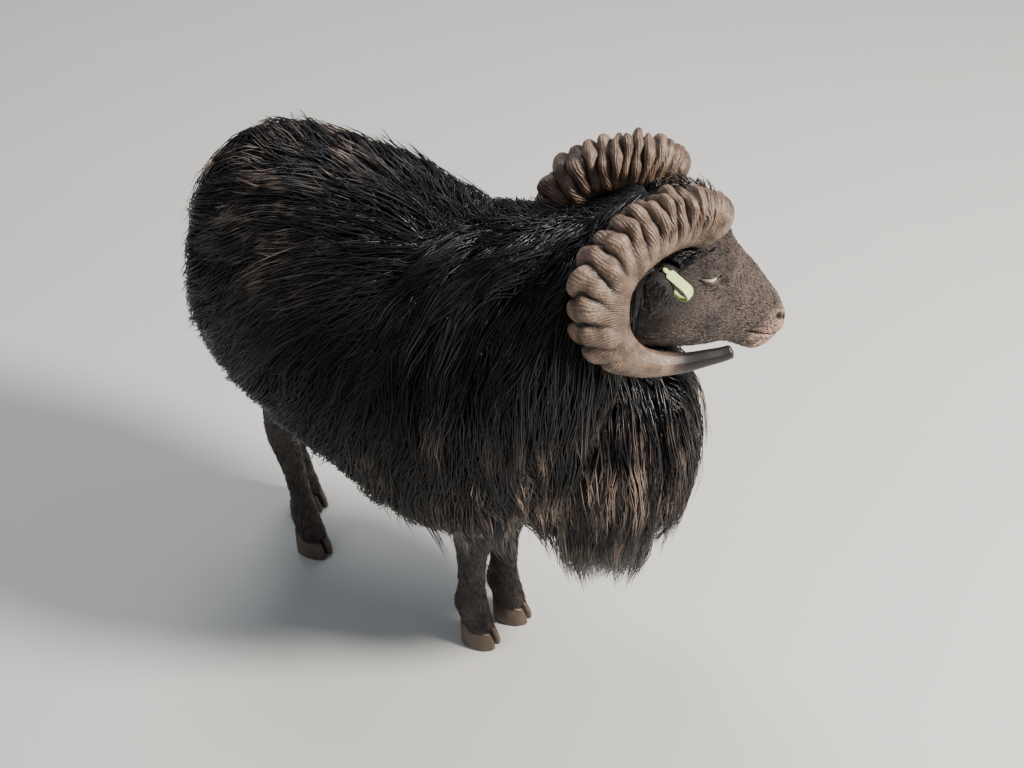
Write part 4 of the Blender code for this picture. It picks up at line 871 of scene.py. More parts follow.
for reach in np.arange(0.002, TAG_LENGTH, 0.0045):
    for side_of_ear in (-1, 1):
        obstacles.append((tag_start + reach * tag_out + side_of_ear * TAG_SPREAD * tag_over, 0.0060))
print(len(obstacles), "spheres to keep off")

# %% Keeping off
LOWEST = 0.004  # no strand comes nearer to the floor


def keep_off(points, margin=0.0015):
    """Points moved out of the obstacles and off the floor."""
    flat = points.reshape(-1, 3)
    for _ in range(2):
        for centre, radius in obstacles:
            near = np.abs(flat - centre).max(1) < radius + margin
            if not near.any():
                continue
            away = flat[near] - centre
            distance = np.linalg.norm(away, axis=1, keepdims=True)
            push = np.maximum(radius + margin, distance) / np.maximum(distance, 1e-5)
            flat[near] = centre + away * push
    flat[:, 2] = np.maximum(flat[:, 2], LOWEST)
    return flat.reshape(points.shape)


# %% [markdown]
# Growing a coat over a surface function. A lock has a root, a length and a lean, which says how far it
# lies back for each step down. The strand's own line and the lock's line are mixed more and more towards
# the tip, and a shared wave gives the lock its crimp. Locks of different depth lie over one another.

# %% Paths of strands over a surface
STEP = 0.02  # the small step of place or angle over which a surface is measured
THROWN_FAR = 0.012  # a strand that is pushed farther off its line than this is left out
LEVELS_AT = (0.0, 0.12, 0.30, 0.50, 0.75, 1.0)
LEVELS = (0.34, 0.76, 0.91, 0.96, 0.985, 1.0)
LEVELS_OPEN = (0.34, 0.62, 0.79, 0.88, 0.96, 1.04)  # for wool that stands out from the body at its tips


def speeds(surface, place, angle, level, turn=1.0):
    """A surface's points, and how far it goes from there for a unit of place and for one of angle."""
    here = surface(place, angle, level)
    ahead = np.linalg.norm(surface(place + STEP, angle, level) - here, axis=-1) / STEP
    down = np.linalg.norm(surface(place, angle + STEP * turn, level) - here, axis=-1) / STEP
    return here, ahead, down


def trace(surface, place, angle, length, lean, rows, depth, ends, levels, soft):
    """Paths from roots along a surface, rising from the core to the tips, and their outward directions."""
    turn = np.clip(angle / soft, -1.0, 1.0)
    _, ahead, down = speeds(surface, place, angle, 0.85, turn)
    tilt = np.arctan(lean)
    step_angle = turn * length * np.cos(tilt) / np.maximum(down, 0.03)
    step_place = -length * np.sin(tilt) / np.maximum(ahead, 0.012)
    shares = np.linspace(0, 1, rows)[None, :] * ends[:, None]
    level = CORE_LEVEL - 0.08 + (np.interp(shares, LEVELS_AT, levels) - 0.34) * depth[:, None]
    at_place = place[:, None] + shares * step_place[:, None]
    at_angle = angle[:, None] + shares * step_angle[:, None]
    path = surface(at_place, at_angle, level)
    outs = unit(surface(at_place, at_angle, level + 0.2) - path)
    return path, outs, shares


# %% Growing locks


def grow(name, surface, locks, per_lock, draw, length, lean, spread=0.012, width=0.00085, rows=6,
         wave=0.0034, wavelength=0.090, droop=0.04, gather=0.93, fluff=0.0016, depth=(0.62, 1.0),
         levels=LEVELS, soft=0.35, loose=0.07, bunch=0.30):
    """A coat piece. locks holds place and angle for each lock; length and lean may be one for each lock."""
    place, angle = locks
    count = len(place)
    length = np.broadcast_to(length, count) * draw.uniform(0.80, 1.16, count)
    lean = np.broadcast_to(lean, count) + draw.normal(0, 0.05, count)
    deep = draw.uniform(depth[0], depth[1], count)
    deep = np.where(draw.random(count) < 0.20, depth[1], deep)
    here, ahead, down = speeds(surface, place, angle, 0.6)
    middle, _, _ = trace(surface, place, angle, length, lean, rows, deep, np.ones(count), levels, soft)
    # A few locks next to one another lean together into a larger one
    leaders = draw.choice(count, max(1, count // 4), replace=False)
    nearest = leaders[np.linalg.norm(here[:, None] - here[leaders][None], axis=-1).argmin(1)]
    close = bunch * np.linspace(0, 1, rows)[None, :, None] ** 1.2
    middle = middle * (1 - close) + middle[nearest] * close
    pick = np.repeat(np.arange(count), per_lock)
    total = len(pick)
    off = draw.normal(0, spread, (total, 2))
    own_place = place[pick] + off[:, 0] / np.maximum(ahead[pick], 0.05)
    own_angle = angle[pick] + off[:, 1] / np.maximum(down[pick], 0.05)
    if soft < 0.1:
        own_angle = np.abs(own_angle) + 0.01
    own_lean = lean[pick] + draw.normal(0, 0.025, total)
    own_depth = deep[pick] * draw.uniform(0.9, 1.02, total)
    ends = draw.uniform(0.60, 1.0, total)
    path, outs, shares = trace(
        surface, own_place, own_angle, length[pick], own_lean, rows, own_depth, ends, levels, soft)
    # Each strand is drawn towards the line of its lock, and a few stay loose
    exact = shares * (rows - 1)
    low = np.minimum(exact.astype(int), rows - 2)
    part = (exact - low)[..., None]
    line = middle[pick[:, None], low] * (1 - part) + middle[pick[:, None], low + 1] * part
    pull = np.where(draw.random(total) < loose, 0.25, 1.0)[:, None] * gather
    pull = pull * np.clip(shares - 0.08, 0, 1) ** 0.8
    path = path * (1 - pull[..., None]) + line * pull[..., None]
    side = unit(np.cross(unit(np.gradient(path, axis=1)), outs))
    swing = 3.0 * np.sin(1.3 * place + 2.1 * angle) + 2.0 * np.sin(2.9 * angle - 0.8 * place)
    phase = ((swing + draw.uniform(-0.5, 0.5, count))[pick] + draw.normal(0, 0.25, total))[:, None]
    travel = 2 * math.pi * shares * (length[pick] / wavelength)[:, None]
    strength = wave * (draw.uniform(0.3, 1.5, count)[pick] * draw.uniform(0.7, 1.3, total))[:, None]
    strength = strength * np.clip(shares * 2.5, 0, 1)
    path = path + side * (strength * np.sin(travel + phase))[..., None]
    path = path + outs * (0.5 * strength * np.cos(travel + phase * 1.3))[..., None]
    path = path + draw.normal(0, fluff, (total, 1, 3)) * shares[..., None] ** 2
    path = path + (draw.normal(0, 0.0025, (count, 1, 3))[pick]) * shares[..., None] ** 2
    path[..., 2] -= droop * length[pick][:, None] * shares**2
    # Strands that something in their way throws far off their line are left out
    moved = keep_off(path.copy())
    thrown = np.linalg.norm(moved - path, axis=-1).max(1)
    keep = thrown < THROWN_FAR
    print(name, "leaves out", int((~keep).sum()), "strands")
    path, outs, pick, own_place, own_angle = (a[keep] for a in (moved, outs, pick, own_place, own_angle))
    total = len(pick)
    roots = np.stack((own_place, own_angle), -1)
    roots = (roots - roots.min(0)) / (roots.max(0) - roots.min(0)) * (1 - PATCH)
    tints = np.clip(draw.random(count)[pick] * 0.60 + draw.random(total) * 0.40, 0.001, 0.999)
    return strand_piece(name, path, outs, width * draw.uniform(0.65, 1.35, total), roots, tints)


# %% Scattering the roots of locks


def scatter(draw, surface, count, places, angles, level=0.8):
    """Lock roots spread evenly over a patch of a surface, by area."""
    tries = count * 6
    place, angle = draw.uniform(*places, tries), draw.uniform(*angles, tries)
    here = surface(place, angle, level)
    across = surface(place + 0.01, angle, level) - here
    down = surface(place, angle + 0.01, level) - here
    area = np.linalg.norm(np.cross(across, down), axis=-1)
    keep = draw.random(tries) < area / np.percentile(area, 97)
    place, angle = place[keep][:count], angle[keep][:count]
    return place, angle


# %% [markdown]
# The fleece parts along the back and falls down both sides. Behind, the locks lie back towards the tail,
# and over the shoulder they hang straight and are more curled. So each piece of the coat is a patch of the
# trunk with its own number of locks, and one table says how far a lock leans at its angle.

# %% The coat of the trunk
LEAN_AT = np.radians((0, 10, 32, 56, 80, 105, 180))
LEAN_BEHIND = (3.0, 2.6, 1.7, 1.0, 0.62, 0.36, 0.2)
LEAN_AHEAD = (1.6, 1.2, 0.5, 0.22, 0.10, 0.04, 0.0)


def trunk_lean(place, angle):
    """How far a lock of the trunk lies back: most along the spine and at the rump."""
    share = np.clip((place - 2.8) / 4.2, 0, 1)
    behind = np.interp(np.abs(angle), LEAN_AT, LEAN_BEHIND)
    front = np.interp(np.abs(angle), LEAN_AT, LEAN_AHEAD)
    return behind + share * (front - behind)


def coat_trunk(name, seed, count, places, degrees, length=0.182, **more):
    """A piece of the trunk's coat between two angles in degrees."""
    draw = np.random.default_rng(seed)
    place, angle = scatter(draw, trunk, count, places, np.radians(degrees))
    long = length * np.interp(np.abs(np.degrees(angle)), (0, 40, 80, 105, 120), (0.66, 0.96, 1.0, 0.74, 0.55))
    long = long * np.where((angle > 0) & (np.degrees(angle) > 70), 0.80, 1.0)
    return grow(name, trunk, (place, angle), 20, draw, long, trunk_lean(place, angle), **more)


curly = dict(rows=7, wave=0.0046, wavelength=0.055)
coat = [
    coat_trunk("coat_flank_right", 1, 255, (2.6, 6.2), (-118, -22)),
    coat_trunk("coat_flank_left", 2, 165, (2.6, 6.2), (22, 118)),
    coat_trunk("coat_back", 3, 190, (2.7, 7.2), (-34, 34), droop=-0.02, fluff=0.005, soft=0.6, gather=0.86),
    coat_trunk("coat_shoulder_right", 4, 185, (5.8, 8.2), (-125, -20), **curly),
    coat_trunk("coat_shoulder_left", 5, 120, (5.8, 8.2), (20, 125), **curly),
    coat_trunk("coat_belly", 6, 56, (2.6, 7.6), (112, 248), length=0.05, droop=0.1, rows=5),
]

# %% The coat of the rump
# This wool lies back and stands out as a brush
draw = np.random.default_rng(7)
azimuth, polar = scatter(draw, rump, 262, (-3.4, 3.4), (0.10, 1.95))
coat.append(grow("coat_rump", rump, (azimuth, polar), 20, draw, 0.112, 0.30 * azimuth, droop=0.0, wave=0.0030,
                 fluff=0.005, levels=LEVELS_OPEN, soft=0.02))

# %% [markdown]
# A ram carries a mane down its neck and a deep ruff on its chest. The ruff is an egg, and its locks sweep
# down over it from the top. The longest ones leave it and hang in points below the chest.

# %% The coat of the neck and the ruff
NECK_LEAN_AT = np.radians((0, 12, 42, 74, 108, 150))
for side, name, count in ((-1, "coat_neck_right", 230), (1, "coat_neck_left", 150)):
    draw = np.random.default_rng(10 + side)
    place, angle = scatter(draw, neck, count, (0.2, 2.75), (0.02, 2.3))
    long = np.interp(angle, NECK_LEAN_AT, (0.090, 0.095, 0.125, 0.140, 0.115, 0.07))
    lean = np.interp(angle, NECK_LEAN_AT, (1.2, 1.1, 0.4, 0.2, 0.1, 0.1))
    coat.append(
        grow(name, neck, (place, side * angle), 20, draw, long, lean, rows=7, wave=0.0042, wavelength=0.060)
    )
draw = np.random.default_rng(12)
azimuth, polar = scatter(draw, ruff, 270, (-3.6, 3.6), (0.08, 2.10))
coat.append(grow("coat_ruff", ruff, (azimuth, polar), 20, draw, 0.160, 0.0, droop=0.16, wave=0.0042,
                 wavelength=0.075, levels=LEVELS_OPEN, soft=0.02, spread=0.010, gather=0.94))

# %% The longest locks, under the throat and the chest
azimuth, polar = scatter(draw, ruff, 62, (-3.5, -0.9), (1.35, 2.05))
coat.append(grow("coat_chest", ruff, (azimuth, polar), 22, draw, 0.120, 0.0, droop=0.42, wave=0.0040,
                 wavelength=0.07, levels=LEVELS_OPEN, soft=0.02, spread=0.009, gather=0.95, bunch=0.6))
for side, name in ((-1, "coat_hem_right"), (1, "coat_hem_left")):
    place, angle = scatter(draw, neck, 44, (0.3, 2.1), (1.75, 2.5))
    coat.append(grow(name, neck, (place, side * angle), 20, draw, 0.105, 0.1, droop=0.55, wave=0.0040,
                     wavelength=0.06, spread=0.009, gather=0.95, bunch=0.5))

# %% [markdown]
# The short tail hangs in a sheath of finer wool. Its strands run down a form that stands upright, so place
# and angle change roles before the locks are grown on it.

# %% The tail's wool
draw = np.random.default_rng(14)
place, angle = scatter(draw, tail, 84, (0.0, 4.2), (0, 2 * math.pi), level=0.004)


def tail_wool(place, angle, level):
    """The tail's surface with the level told in shares of its wool."""
    return tail(place, angle, 0.004 + 0.010 * (np.asarray(level) - CORE_LEVEL))


def tail_down(angle, place, level):
    """The tail's surface with its places and angles swapped, so that strands run down it."""
    return tail_wool(np.abs(place), angle, level)


coat.append(grow("coat_tail", tail_down, (angle, place), 14, draw, 0.055, 0.0, spread=0.007, droop=0.0,
                 rows=5, wave=0.0015, wavelength=0.04, fluff=0.0025, soft=0.02, depth=(0.8, 1.2)))
print("long coat:", sum(triangles(piece) for piece in coat), "triangles")


# %% [markdown]
# The horns are the ram's best feature: long bulging ridges sweep down the outer side, close and fine at
# the root, wide along the top and flatter towards the smooth, dark tip. A fine tube follows the centre
# line, and each point is raised by the ridge that it lies on.

# %% Horns
RIDGES_AT = np.array((0.0, 0.20, 0.42, 0.68, 1.0, 1.36, 1.76, 2.22, 2.70, 3.22, 3.78, 4.36, 4.96, 5.60,
                      6.28, 7.00, 7.76, 8.50, 9.20))
HORN_RINGS, HORN_SIDES = 430, 56
RIDGE_HEIGHT, GROOVE_DEPTH, FINE_LINE = 0.0066, 0.0036, 0.00042


def horn_rings(side):
    """Rings of one horn with its growth ridges, and a mask from 0 to 1 at each point: high on the ridges, low
    in the grooves where the colour gets painted shade, and following the fine growth lines elsewhere.
    """
    places = np.linspace(0, HORN_LAST, HORN_RINGS)
    centre, half, thick = horn_line(places, side)
    along = unit(np.gradient(centre, axis=0))
    radial = unit(np.cross(HEAD_LEFT, along))
    lateral = np.cross(along, radial)
    angle = full_turn(HORN_SIDES)
    out, across = np.cos(angle), np.sin(angle)
    # On its inner side a ridge lies a little nearer the tip, as each ring of growth is slanted
    number = np.interp(places, RIDGES_AT, np.arange(len(RIDGES_AT)))
    slant = 0.55 * (1 - out)[None, :] + 0.12 * np.sin(2 * angle + 0.8)[None, :]
    phase = number[:, None] - slant
    phase = phase + 0.08 * np.sin(2.1 * phase + 3 * angle[None, :])
    phase = phase + 0.05 * np.sin(7 * angle + 1.7 * number[:, None])
    whole = np.floor(phase)
    bulge = 1 - np.abs(2 * (phase - whole) - 1) ** 2.6
    fade = np.clip((9.6 - places) / 2.6, 0, 1)[:, None]
    young = np.clip(places / 1.8, 0.25, 1)[:, None]
    outer = np.clip((out + 0.60) / 1.35, 0, 1)[None, :]
    outer = outer * outer * (3 - 2 * outer)
    # A knob is higher at some places than at others, and two seldom look alike
    knob = 1 + 0.34 * np.sin(3 * angle[None, :] + 2.1 * whole)
    knob = knob + 0.26 * np.sin(6 * angle[None, :] - 1.3 * whole)
    strength = (0.06 + 0.94 * outer) * fade * young
    lines = 0.5 + 0.5 * np.sin(2 * math.pi * phase * 4.0 + 1.5 * np.sin(9 * angle)[None, :])
    grown = strength * (RIDGE_HEIGHT * bulge * knob - GROOVE_DEPTH)
    grown = grown + FINE_LINE * (lines - 0.5) * (1.15 - 0.8 * outer)
    rings = centre[:, None] + ((half[:, None] + grown) * out)[..., None] * radial[:, None]
    rings = rings + ((thick[:, None] + grown) * across)[..., None] * lateral[:, None]
    # Where the ridges are strong, the mask is low in the grooves, which the material fills with painted shade
    dark = np.clip(strength * 1.3, 0, 1)
    shown = dark * bulge + (1 - dark) * (0.42 + 0.38 * lines)
    return rings, np.broadcast_to(shown, rings.shape[:2])


horns = []
for side, name in SIDES:
    rings, ridge_shade = horn_rings(side)
    # The tip is rounded off by a few shrinking rings
    end, step = rings[-1].mean(0), rings[-1].mean(0) - rings[-2].mean(0)
    turns = np.linspace(0.2, 1.4, 6)
    round_off = [end + (rings[-1] - end) * math.cos(turn) + step * 4.0 * math.sin(turn) for turn in turns]
    # and the root goes down into the skull
    start, back = rings[0].mean(0), rings[0].mean(0) - rings[1].mean(0)
    shrinking = ((0.7, 24), (0.9, 12), (0.98, 5))  # size, and steps down into the skull
    sunk = [start + (rings[0] - start) * size + back * deep for size, deep in shrinking]
    horn = loft("horn_" + name, np.concatenate((sunk, rings, round_off)))
    shares = np.concatenate((np.zeros(3), np.linspace(0, 1, HORN_RINGS), np.ones(6)))
    values = np.append(np.repeat(shares, HORN_SIDES), (0.0, 1.0))
    heights = np.concatenate((np.full(3 * HORN_SIDES, 0.5), ridge_shade.ravel(), np.full(6 * HORN_SIDES + 2, 0.7)))
    for label, numbers in (("length", values), ("ridge_shade", heights)):
        layer = horn.data.attributes.new(label, "FLOAT", "POINT")
        layer.data.foreach_set("value", numbers.astype(np.float32))
    smooth(horn)
    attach(horn, "root")
    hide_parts(*(f"horn_{name}_{length}" for length in ("base", "middle", "tip")))
    horns.append(horn)
    print(horn.name, triangles(horn), "triangles")

# %% [markdown]
# The eye is a plain ball with a clear bulge in front. Its colours come from the material: a pale amber iris
# and the slot that a sheep has for a pupil. The lids of the skin close over it, so only a slit shows.

# %% Eyes
CORNEA = 0.0006  # how far the cornea stands out
MAP_WIDTH = 2.4 * EYE_RADIUS
eyes = []
for side, name in SIDES:
    deselect()
    eye = sphere(EYE_RADIUS, 64, 48)
    eye.name = "eyeball_" + name
    # The sphere's pole is turned to face outwards, and pulled out a little as the cornea
    for vertex in eye.data.vertices:
        if vertex.co.z > 0.8 * EYE_RADIUS:
            vertex.co.z += CORNEA * (vertex.co.z / EYE_RADIUS - 0.8) / 0.2
    looks = unit(head_vector(0.16, side, 0.02))
    # The slot of the pupil stays level while the head is bent
    level = math.cos(EYE_SLOPE) * HEAD_FORWARD + math.sin(EYE_SLOPE) * HEAD_UP
    level = unit(level - (level @ looks) * looks)
    uv = eye.data.uv_layers.active or eye.data.uv_layers.new(name="UVMap")
    for loop in eye.data.loops:
        co = eye.data.vertices[loop.vertex_index].co
        uv.data[loop.index].uv = (0.5 + co.x / MAP_WIDTH, 0.5 + co.y / MAP_WIDTH)
    eye.data.transform(placed(beside(EYE_PLACE, side), (level, np.cross(looks, level), looks)))
    smooth(eye)
    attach(eye, "root")
    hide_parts("eye_" + name)
    eyes.append(eye)
    print(eye.name, triangles(eye), "triangles")

# %% [markdown]
# Where the lids meet the eye, they have a thin, wet, dark rim. It is a fine cord laid round the slit, and
# it hides the sharp edge that the cut has left.

# %% Rims of the lids
lid_rims = []
for side, _ in SIDES:
    turns = full_turn(72)
    eye_centre = beside(EYE_PLACE, side)
    path = slit_edge(side, turns, 0.0)
    away = (path - eye_centre) @ HEAD_FORWARD, (path - eye_centre) @ HEAD_UP
    out = np.sqrt(np.maximum((LID_RADIUS - 0.0005) ** 2 - away[0] ** 2 - away[1] ** 2, 1e-6))
    path = path + out[:, None] * side * HEAD_LEFT
    along = unit(np.roll(path, -1, 0) - np.roll(path, 1, 0))
    outer = side * HEAD_LEFT
    across = unit(np.cross(along, outer))
    rise = np.cross(across, along)
    ring_angles = full_turn(12)
    size = 0.0005 + 0.0003 * np.abs(np.sin(turns))
    around = np.cos(ring_angles)[None, :, None] * across[:, None]
    around = around + np.sin(ring_angles)[None, :, None] * rise[:, None]
    points = path[:, None] + size[:, None, None] * around
    count, sides = points.shape[:2]
    faces = []
    for k in range(count):
        now, then = k * sides, (k + 1) % count * sides
        for i in range(sides):
            j = (i + 1) % sides
            faces.append((now + i, now + j, then + j, then + i))
    rim = mesh_object("lid_rim", points.reshape(-1, 3), faces)
    outward(rim)
    lid_rims.append(rim)
lid_rims = join(lid_rims, "lid_rims")
smooth(lid_rims)
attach(lid_rims, "root")
print("rims of the lids:", triangles(lid_rims), "triangles")

# %% [markdown]
# A sheep stands on two claws a foot. Each is a copy of its solid, whose loose triangles are merged first.
# A bevel rounds the edges of the horn, while the sole stays flat.

# %% Hooves
HOOF_ROUNDING = 0.0022
hooves = []
for leg_name in STANCE:
    for half in ("inner", "outer"):
        node = f"hoof_{leg_name}_{half}"
        source = bpy.data.objects[node]
        hoof = source.copy()
        hoof.data = source.data.copy()
        hoof.name = "claw_" + node[5:]
        hoof.data.materials.clear()
        bpy.context.scene.collection.objects.link(hoof)
        select_only(hoof)
        bpy.ops.object.mode_set(mode="EDIT")
        bpy.ops.mesh.select_all(action="SELECT")
        bpy.ops.mesh.remove_doubles(threshold=0.00005)
        bpy.ops.mesh.dissolve_limited(angle_limit=math.radians(3))
        bpy.ops.object.mode_set(mode="OBJECT")
        apply_modifier(hoof, "BEVEL", width=HOOF_ROUNDING, segments=3, limit_method="ANGLE",
                       angle_limit=math.radians(40))
        smooth(hoof, 50)
        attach(hoof, "root")
        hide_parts(node)
        hooves.append(hoof)
print(len(hooves), "claws,", triangles(hooves[0]), "triangles each")

# %% [markdown]
# The ear tag is one strap of soft plastic. It starts as a narrow stem on the back of the ear, widens into
# a leaf, bends over the rim and comes back as a narrow one, and a pin holds both ends through the ear.
# It is a ribbon along a path, with a rounded edge.

# %% Ear tag
bend = TAG_LENGTH - TAG_SPREAD
path = [(x, -TAG_SPREAD, TAG_TAIL) for x in np.linspace(0, 0.0055, 6)]
path += [(x, -TAG_SPREAD, TAG_PANEL) for x in np.linspace(0.0068, bend - 0.001, 14)]
for share in np.linspace(0, 1, 25):
    turn = math.pi * share
    wide = TAG_PANEL + (TAG_TAIL - TAG_PANEL) * float(np.clip((share - 0.2) / 0.5, 0, 1))
    path.append((bend + TAG_SPREAD * math.sin(turn), -TAG_SPREAD * math.cos(turn), wide))
path += [(x, TAG_SPREAD + 0.0004 * math.sin(x * 260), TAG_TAIL) for x in np.linspace(bend - 0.001, 0, 14)]
path = np.array(path)
rings = []
for k, (along, over, wide) in enumerate(path):
    ahead = unit(path[min(k + 1, len(path) - 1)][:2] - path[max(k - 1, 0)][:2])
    normal = np.array((-ahead[1], ahead[0]))
    near_end = min(k, len(path) - 1 - k)
    wide = wide * (0.5 if near_end == 0 else 0.88 if near_end == 1 else 1.0)
    ring = []
    for turn in full_turn(16):
        w = math.copysign(abs(math.cos(turn)) ** 0.35, math.cos(turn)) * wide / 2
        t = math.copysign(abs(math.sin(turn)) ** 0.6, math.sin(turn)) * TAG_STRAP / 2
        a, b = np.array((along, over)) + t * normal
        ring.append(tag_start + a * tag_out + b * tag_over + w * along_ear)
    rings.append(ring)
tag = loft("tag_strap", rings)

# %% The pin of the ear tag
studs = []
TAG_PIN_AT = 0.0022
for radius, length in ((0.0015, 2 * TAG_SPREAD + 0.0020), (0.0021, 2 * TAG_SPREAD - 0.0030)):
    bpy.ops.mesh.primitive_cylinder_add(vertices=24, radius=radius, depth=length)
    stud = bpy.context.object
    select_only(stud)
    bpy.ops.object.mode_set(mode="EDIT")
    bpy.ops.mesh.select_all(action="SELECT")
    bpy.ops.mesh.bevel(offset=0.0003, segments=2)
    bpy.ops.object.mode_set(mode="OBJECT")
    stud.data.transform(placed(tag_start + TAG_PIN_AT * tag_out, (tag_out, along_ear, tag_over)))
    studs.append(stud)
tag = join([tag] + studs, "tag_strap")
smooth(tag, 40)
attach(tag, "root")
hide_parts("ear_tag")
print("ear tag:", triangles(tag), "triangles")

# %% [markdown]
# Short hair covers the face, the ears and the legs. Most of it lies flat and is left to the bump of the
# skin, and small tufts break the outline all round, smallest on the muzzle and above the hooves.

# %% Short hair


def short_hair(name, seed, surface, count, places, angles, length, width, lift, towards, rows=4, keep=None,
               jitter=0.35, height=None, sink=0.0012):
    """Small flat tufts on a surface whose level is a height: towards is a step of place and angle."""
    draw = np.random.default_rng(seed)
    place, angle = scatter(draw, surface, count, places, angles, level=0.0)
    if keep is not None:
        good = keep(place, angle)
        place, angle = place[good], angle[good]
    total = len(place)
    step_place, step_angle = towards(place, angle)
    scale = draw.uniform(0.7, 1.25, total)
    here, _, across = speeds(surface, place, angle, 0.0)
    there = surface(place + STEP * step_place, angle + STEP * step_angle, 0.0)
    speed = np.linalg.norm(there - here, axis=-1) / STEP
    reach = scale * (length(place, angle) if callable(length) else length) / np.maximum(speed, 0.004)
    turned = draw.normal(0, jitter, total)
    shares = np.linspace(0, 1, rows)[None, :]
    extra = turned * reach * speed * 0.5 / np.maximum(across, 0.004)
    at_place = place[:, None] + shares * (step_place * reach)[:, None]
    at_angle = angle[:, None] + shares * (step_angle * reach + extra)[:, None]
    rise = -sink + lift * np.sin(shares * 1.9) * draw.uniform(0.5, 1.3, total)[:, None]
    path = surface(at_place, at_angle, rise)
    if height is not None:
        path = height(path, at_place, at_angle)
    outs = unit(surface(at_place, at_angle, rise + 0.002) - surface(at_place, at_angle, rise))
    low_p, high_p, low_a, high_a = places[0], places[1], angles[0], angles[1]
    roots = np.stack(((place - low_p) / (high_p - low_p), (angle - low_a) / (high_a - low_a)), -1)
    roots = np.clip(roots, 0, 1) * (1 - PATCH)
    tints = draw.uniform(0.001, 0.999, total)
    return strand_piece(name, path, outs, width * draw.uniform(0.7, 1.3, total), roots, tints)


# %% Hair of the face


def raise_on_face(path, place, angle):
    """Moves tufts of the face out by the relief under their roots."""
    flat = path.reshape(-1, 3)
    base = head(place, angle, 0.0)
    local = to_head(base.reshape(-1, 3))
    centre = head(place, angle, -0.02).reshape(-1, 3)
    normal = unit(base.reshape(-1, 3) - centre)
    return (flat + normal * relief(local)[:, None]).reshape(path.shape)


BARE_EYE, BARE_NOSE, BARE_HORN = 0.0135, 0.0190, 0.024  # how far from each the face has no tufts


def clear_of_face(place, angle):
    """Keeps tufts away from the eye, the nostril, the mouth and the horn's root."""
    local = to_head(head(place, angle, 0.0))
    eye = np.hypot(local[:, 0] - EYE_PLACE[0], local[:, 2] - EYE_PLACE[2]) > BARE_EYE
    nose = np.linalg.norm(local - np.array((0.1880, 0, -0.010)), axis=1) > BARE_NOSE
    roots = np.hypot(local[:, 0] - HORN_BASE[0], np.abs(local[:, 1]) - HORN_BASE[1]) > BARE_HORN
    return eye & nose & (roots | (local[:, 2] < 0.015)) & (local[:, 0] < 0.184)


def back_along_face(place, angle):
    """Face hair lies back from the muzzle and a little down the cheeks."""
    down = np.where(np.sin(angle) >= 0, 1.0, -1.0) * np.clip(np.abs(np.sin(angle)), 0, 1)
    return -np.ones(len(place)), 0.10 * down


def face_length(place, angle):
    """Hair of the face: short on the muzzle, longer on the cheeks and under the jaw."""
    longer = np.where(np.cos(angle) < -0.6, 1.35, 1.0)
    return longer * np.interp(place, (0, 4, 9, 13), (0.012, 0.009, 0.006, 0.0035))


hair = [
    short_hair("hair_face", 21, head, 7200, (1.0, 13.2), (-math.pi, math.pi), face_length, 0.00042, 0.0016,
               back_along_face, keep=clear_of_face, height=raise_on_face)
]


# %% Hair of the legs


def down_leg(place, angle):
    """Hair of the leg lies down and a little back."""
    return np.ones(len(place)), 0.05 * np.sin(angle)


for number, (leg_name, foot) in enumerate(STANCE.items()):
    hair.append(
        short_hair("hair_leg_" + leg_name, 30 + number, limb(foot), 1600, (1.2, 10.9), (-math.pi, math.pi),
                   0.0095, 0.00045, 0.0018, down_leg)
    )


# %% Hair of the ears


def ear_surface(side, inner):
    """A surface function of one side of an ear: place is the share of its length, angle runs across it."""
    root, axis, width, opening = ear_axes(side)

    def points(place, angle, level):
        share, t, level = (np.asarray(v, float) for v in (place, angle, level))
        size = EAR_HALF_WIDTH * np.interp(share, np.linspace(0, 1, 9), EAR_SPREAD)
        bow = (1 - t * t).clip(0)
        bend = EAR_CUP * (1 - 0.6 * share) * size * bow
        wall = EAR_WALL * (1 - 0.5 * share) * bow**0.5
        over = -bend + level if inner else -(bend + wall) - level
        along, droop = EAR_LENGTH * share[..., None], EAR_DROOP * share[..., None] ** 2
        centre = root + axis * along - opening * droop
        return centre + width * (size * t)[..., None] + opening * over[..., None]

    return points


def clear_of_tag(surface):
    """A test that keeps the hair of an ear away from the tag that hangs through it."""
    def test(place, angle):
        points = surface(place, angle, 0.0)
        line = tag_start + np.arange(-0.002, TAG_LENGTH, 0.003)[:, None] * tag_out
        return np.linalg.norm(points[:, None] - line[None], axis=-1).min(1) > 0.0125

    return test


def down_ear(place, angle):
    """Hair of the ear lies towards its tip and out to its rims."""
    return np.ones(len(place)), 0.5 * angle


for side, name in SIDES:
    for inner, number in ((False, 330), (True, 200)):
        label = f"hair_ear_{name}_{'inside' if inner else 'back'}"
        surface = ear_surface(side, inner)
        hair.append(
            short_hair(label, 50 + side + 2 * inner, surface, number, (0.04, 0.97), (-0.98, 0.98), 0.011,
                       0.00042, 0.0016, down_ear, keep=clear_of_tag(surface), sink=0.0004)
        )
print("short hair:", sum(triangles(piece) for piece in hair), "triangles")

# %% [markdown]
# A tuft of short, curly wool grows on the poll between the horns, and some behind the jaw. Both follow the
# head's own surface, and they close the join between the bare face and the mane.

# %% Wool between the horns


def crown(place, angle, level):
    """The poll's surface with the level told in shares of its wool."""
    return head(place, angle, -0.004 + 0.026 * (np.asarray(level) - 0.4))


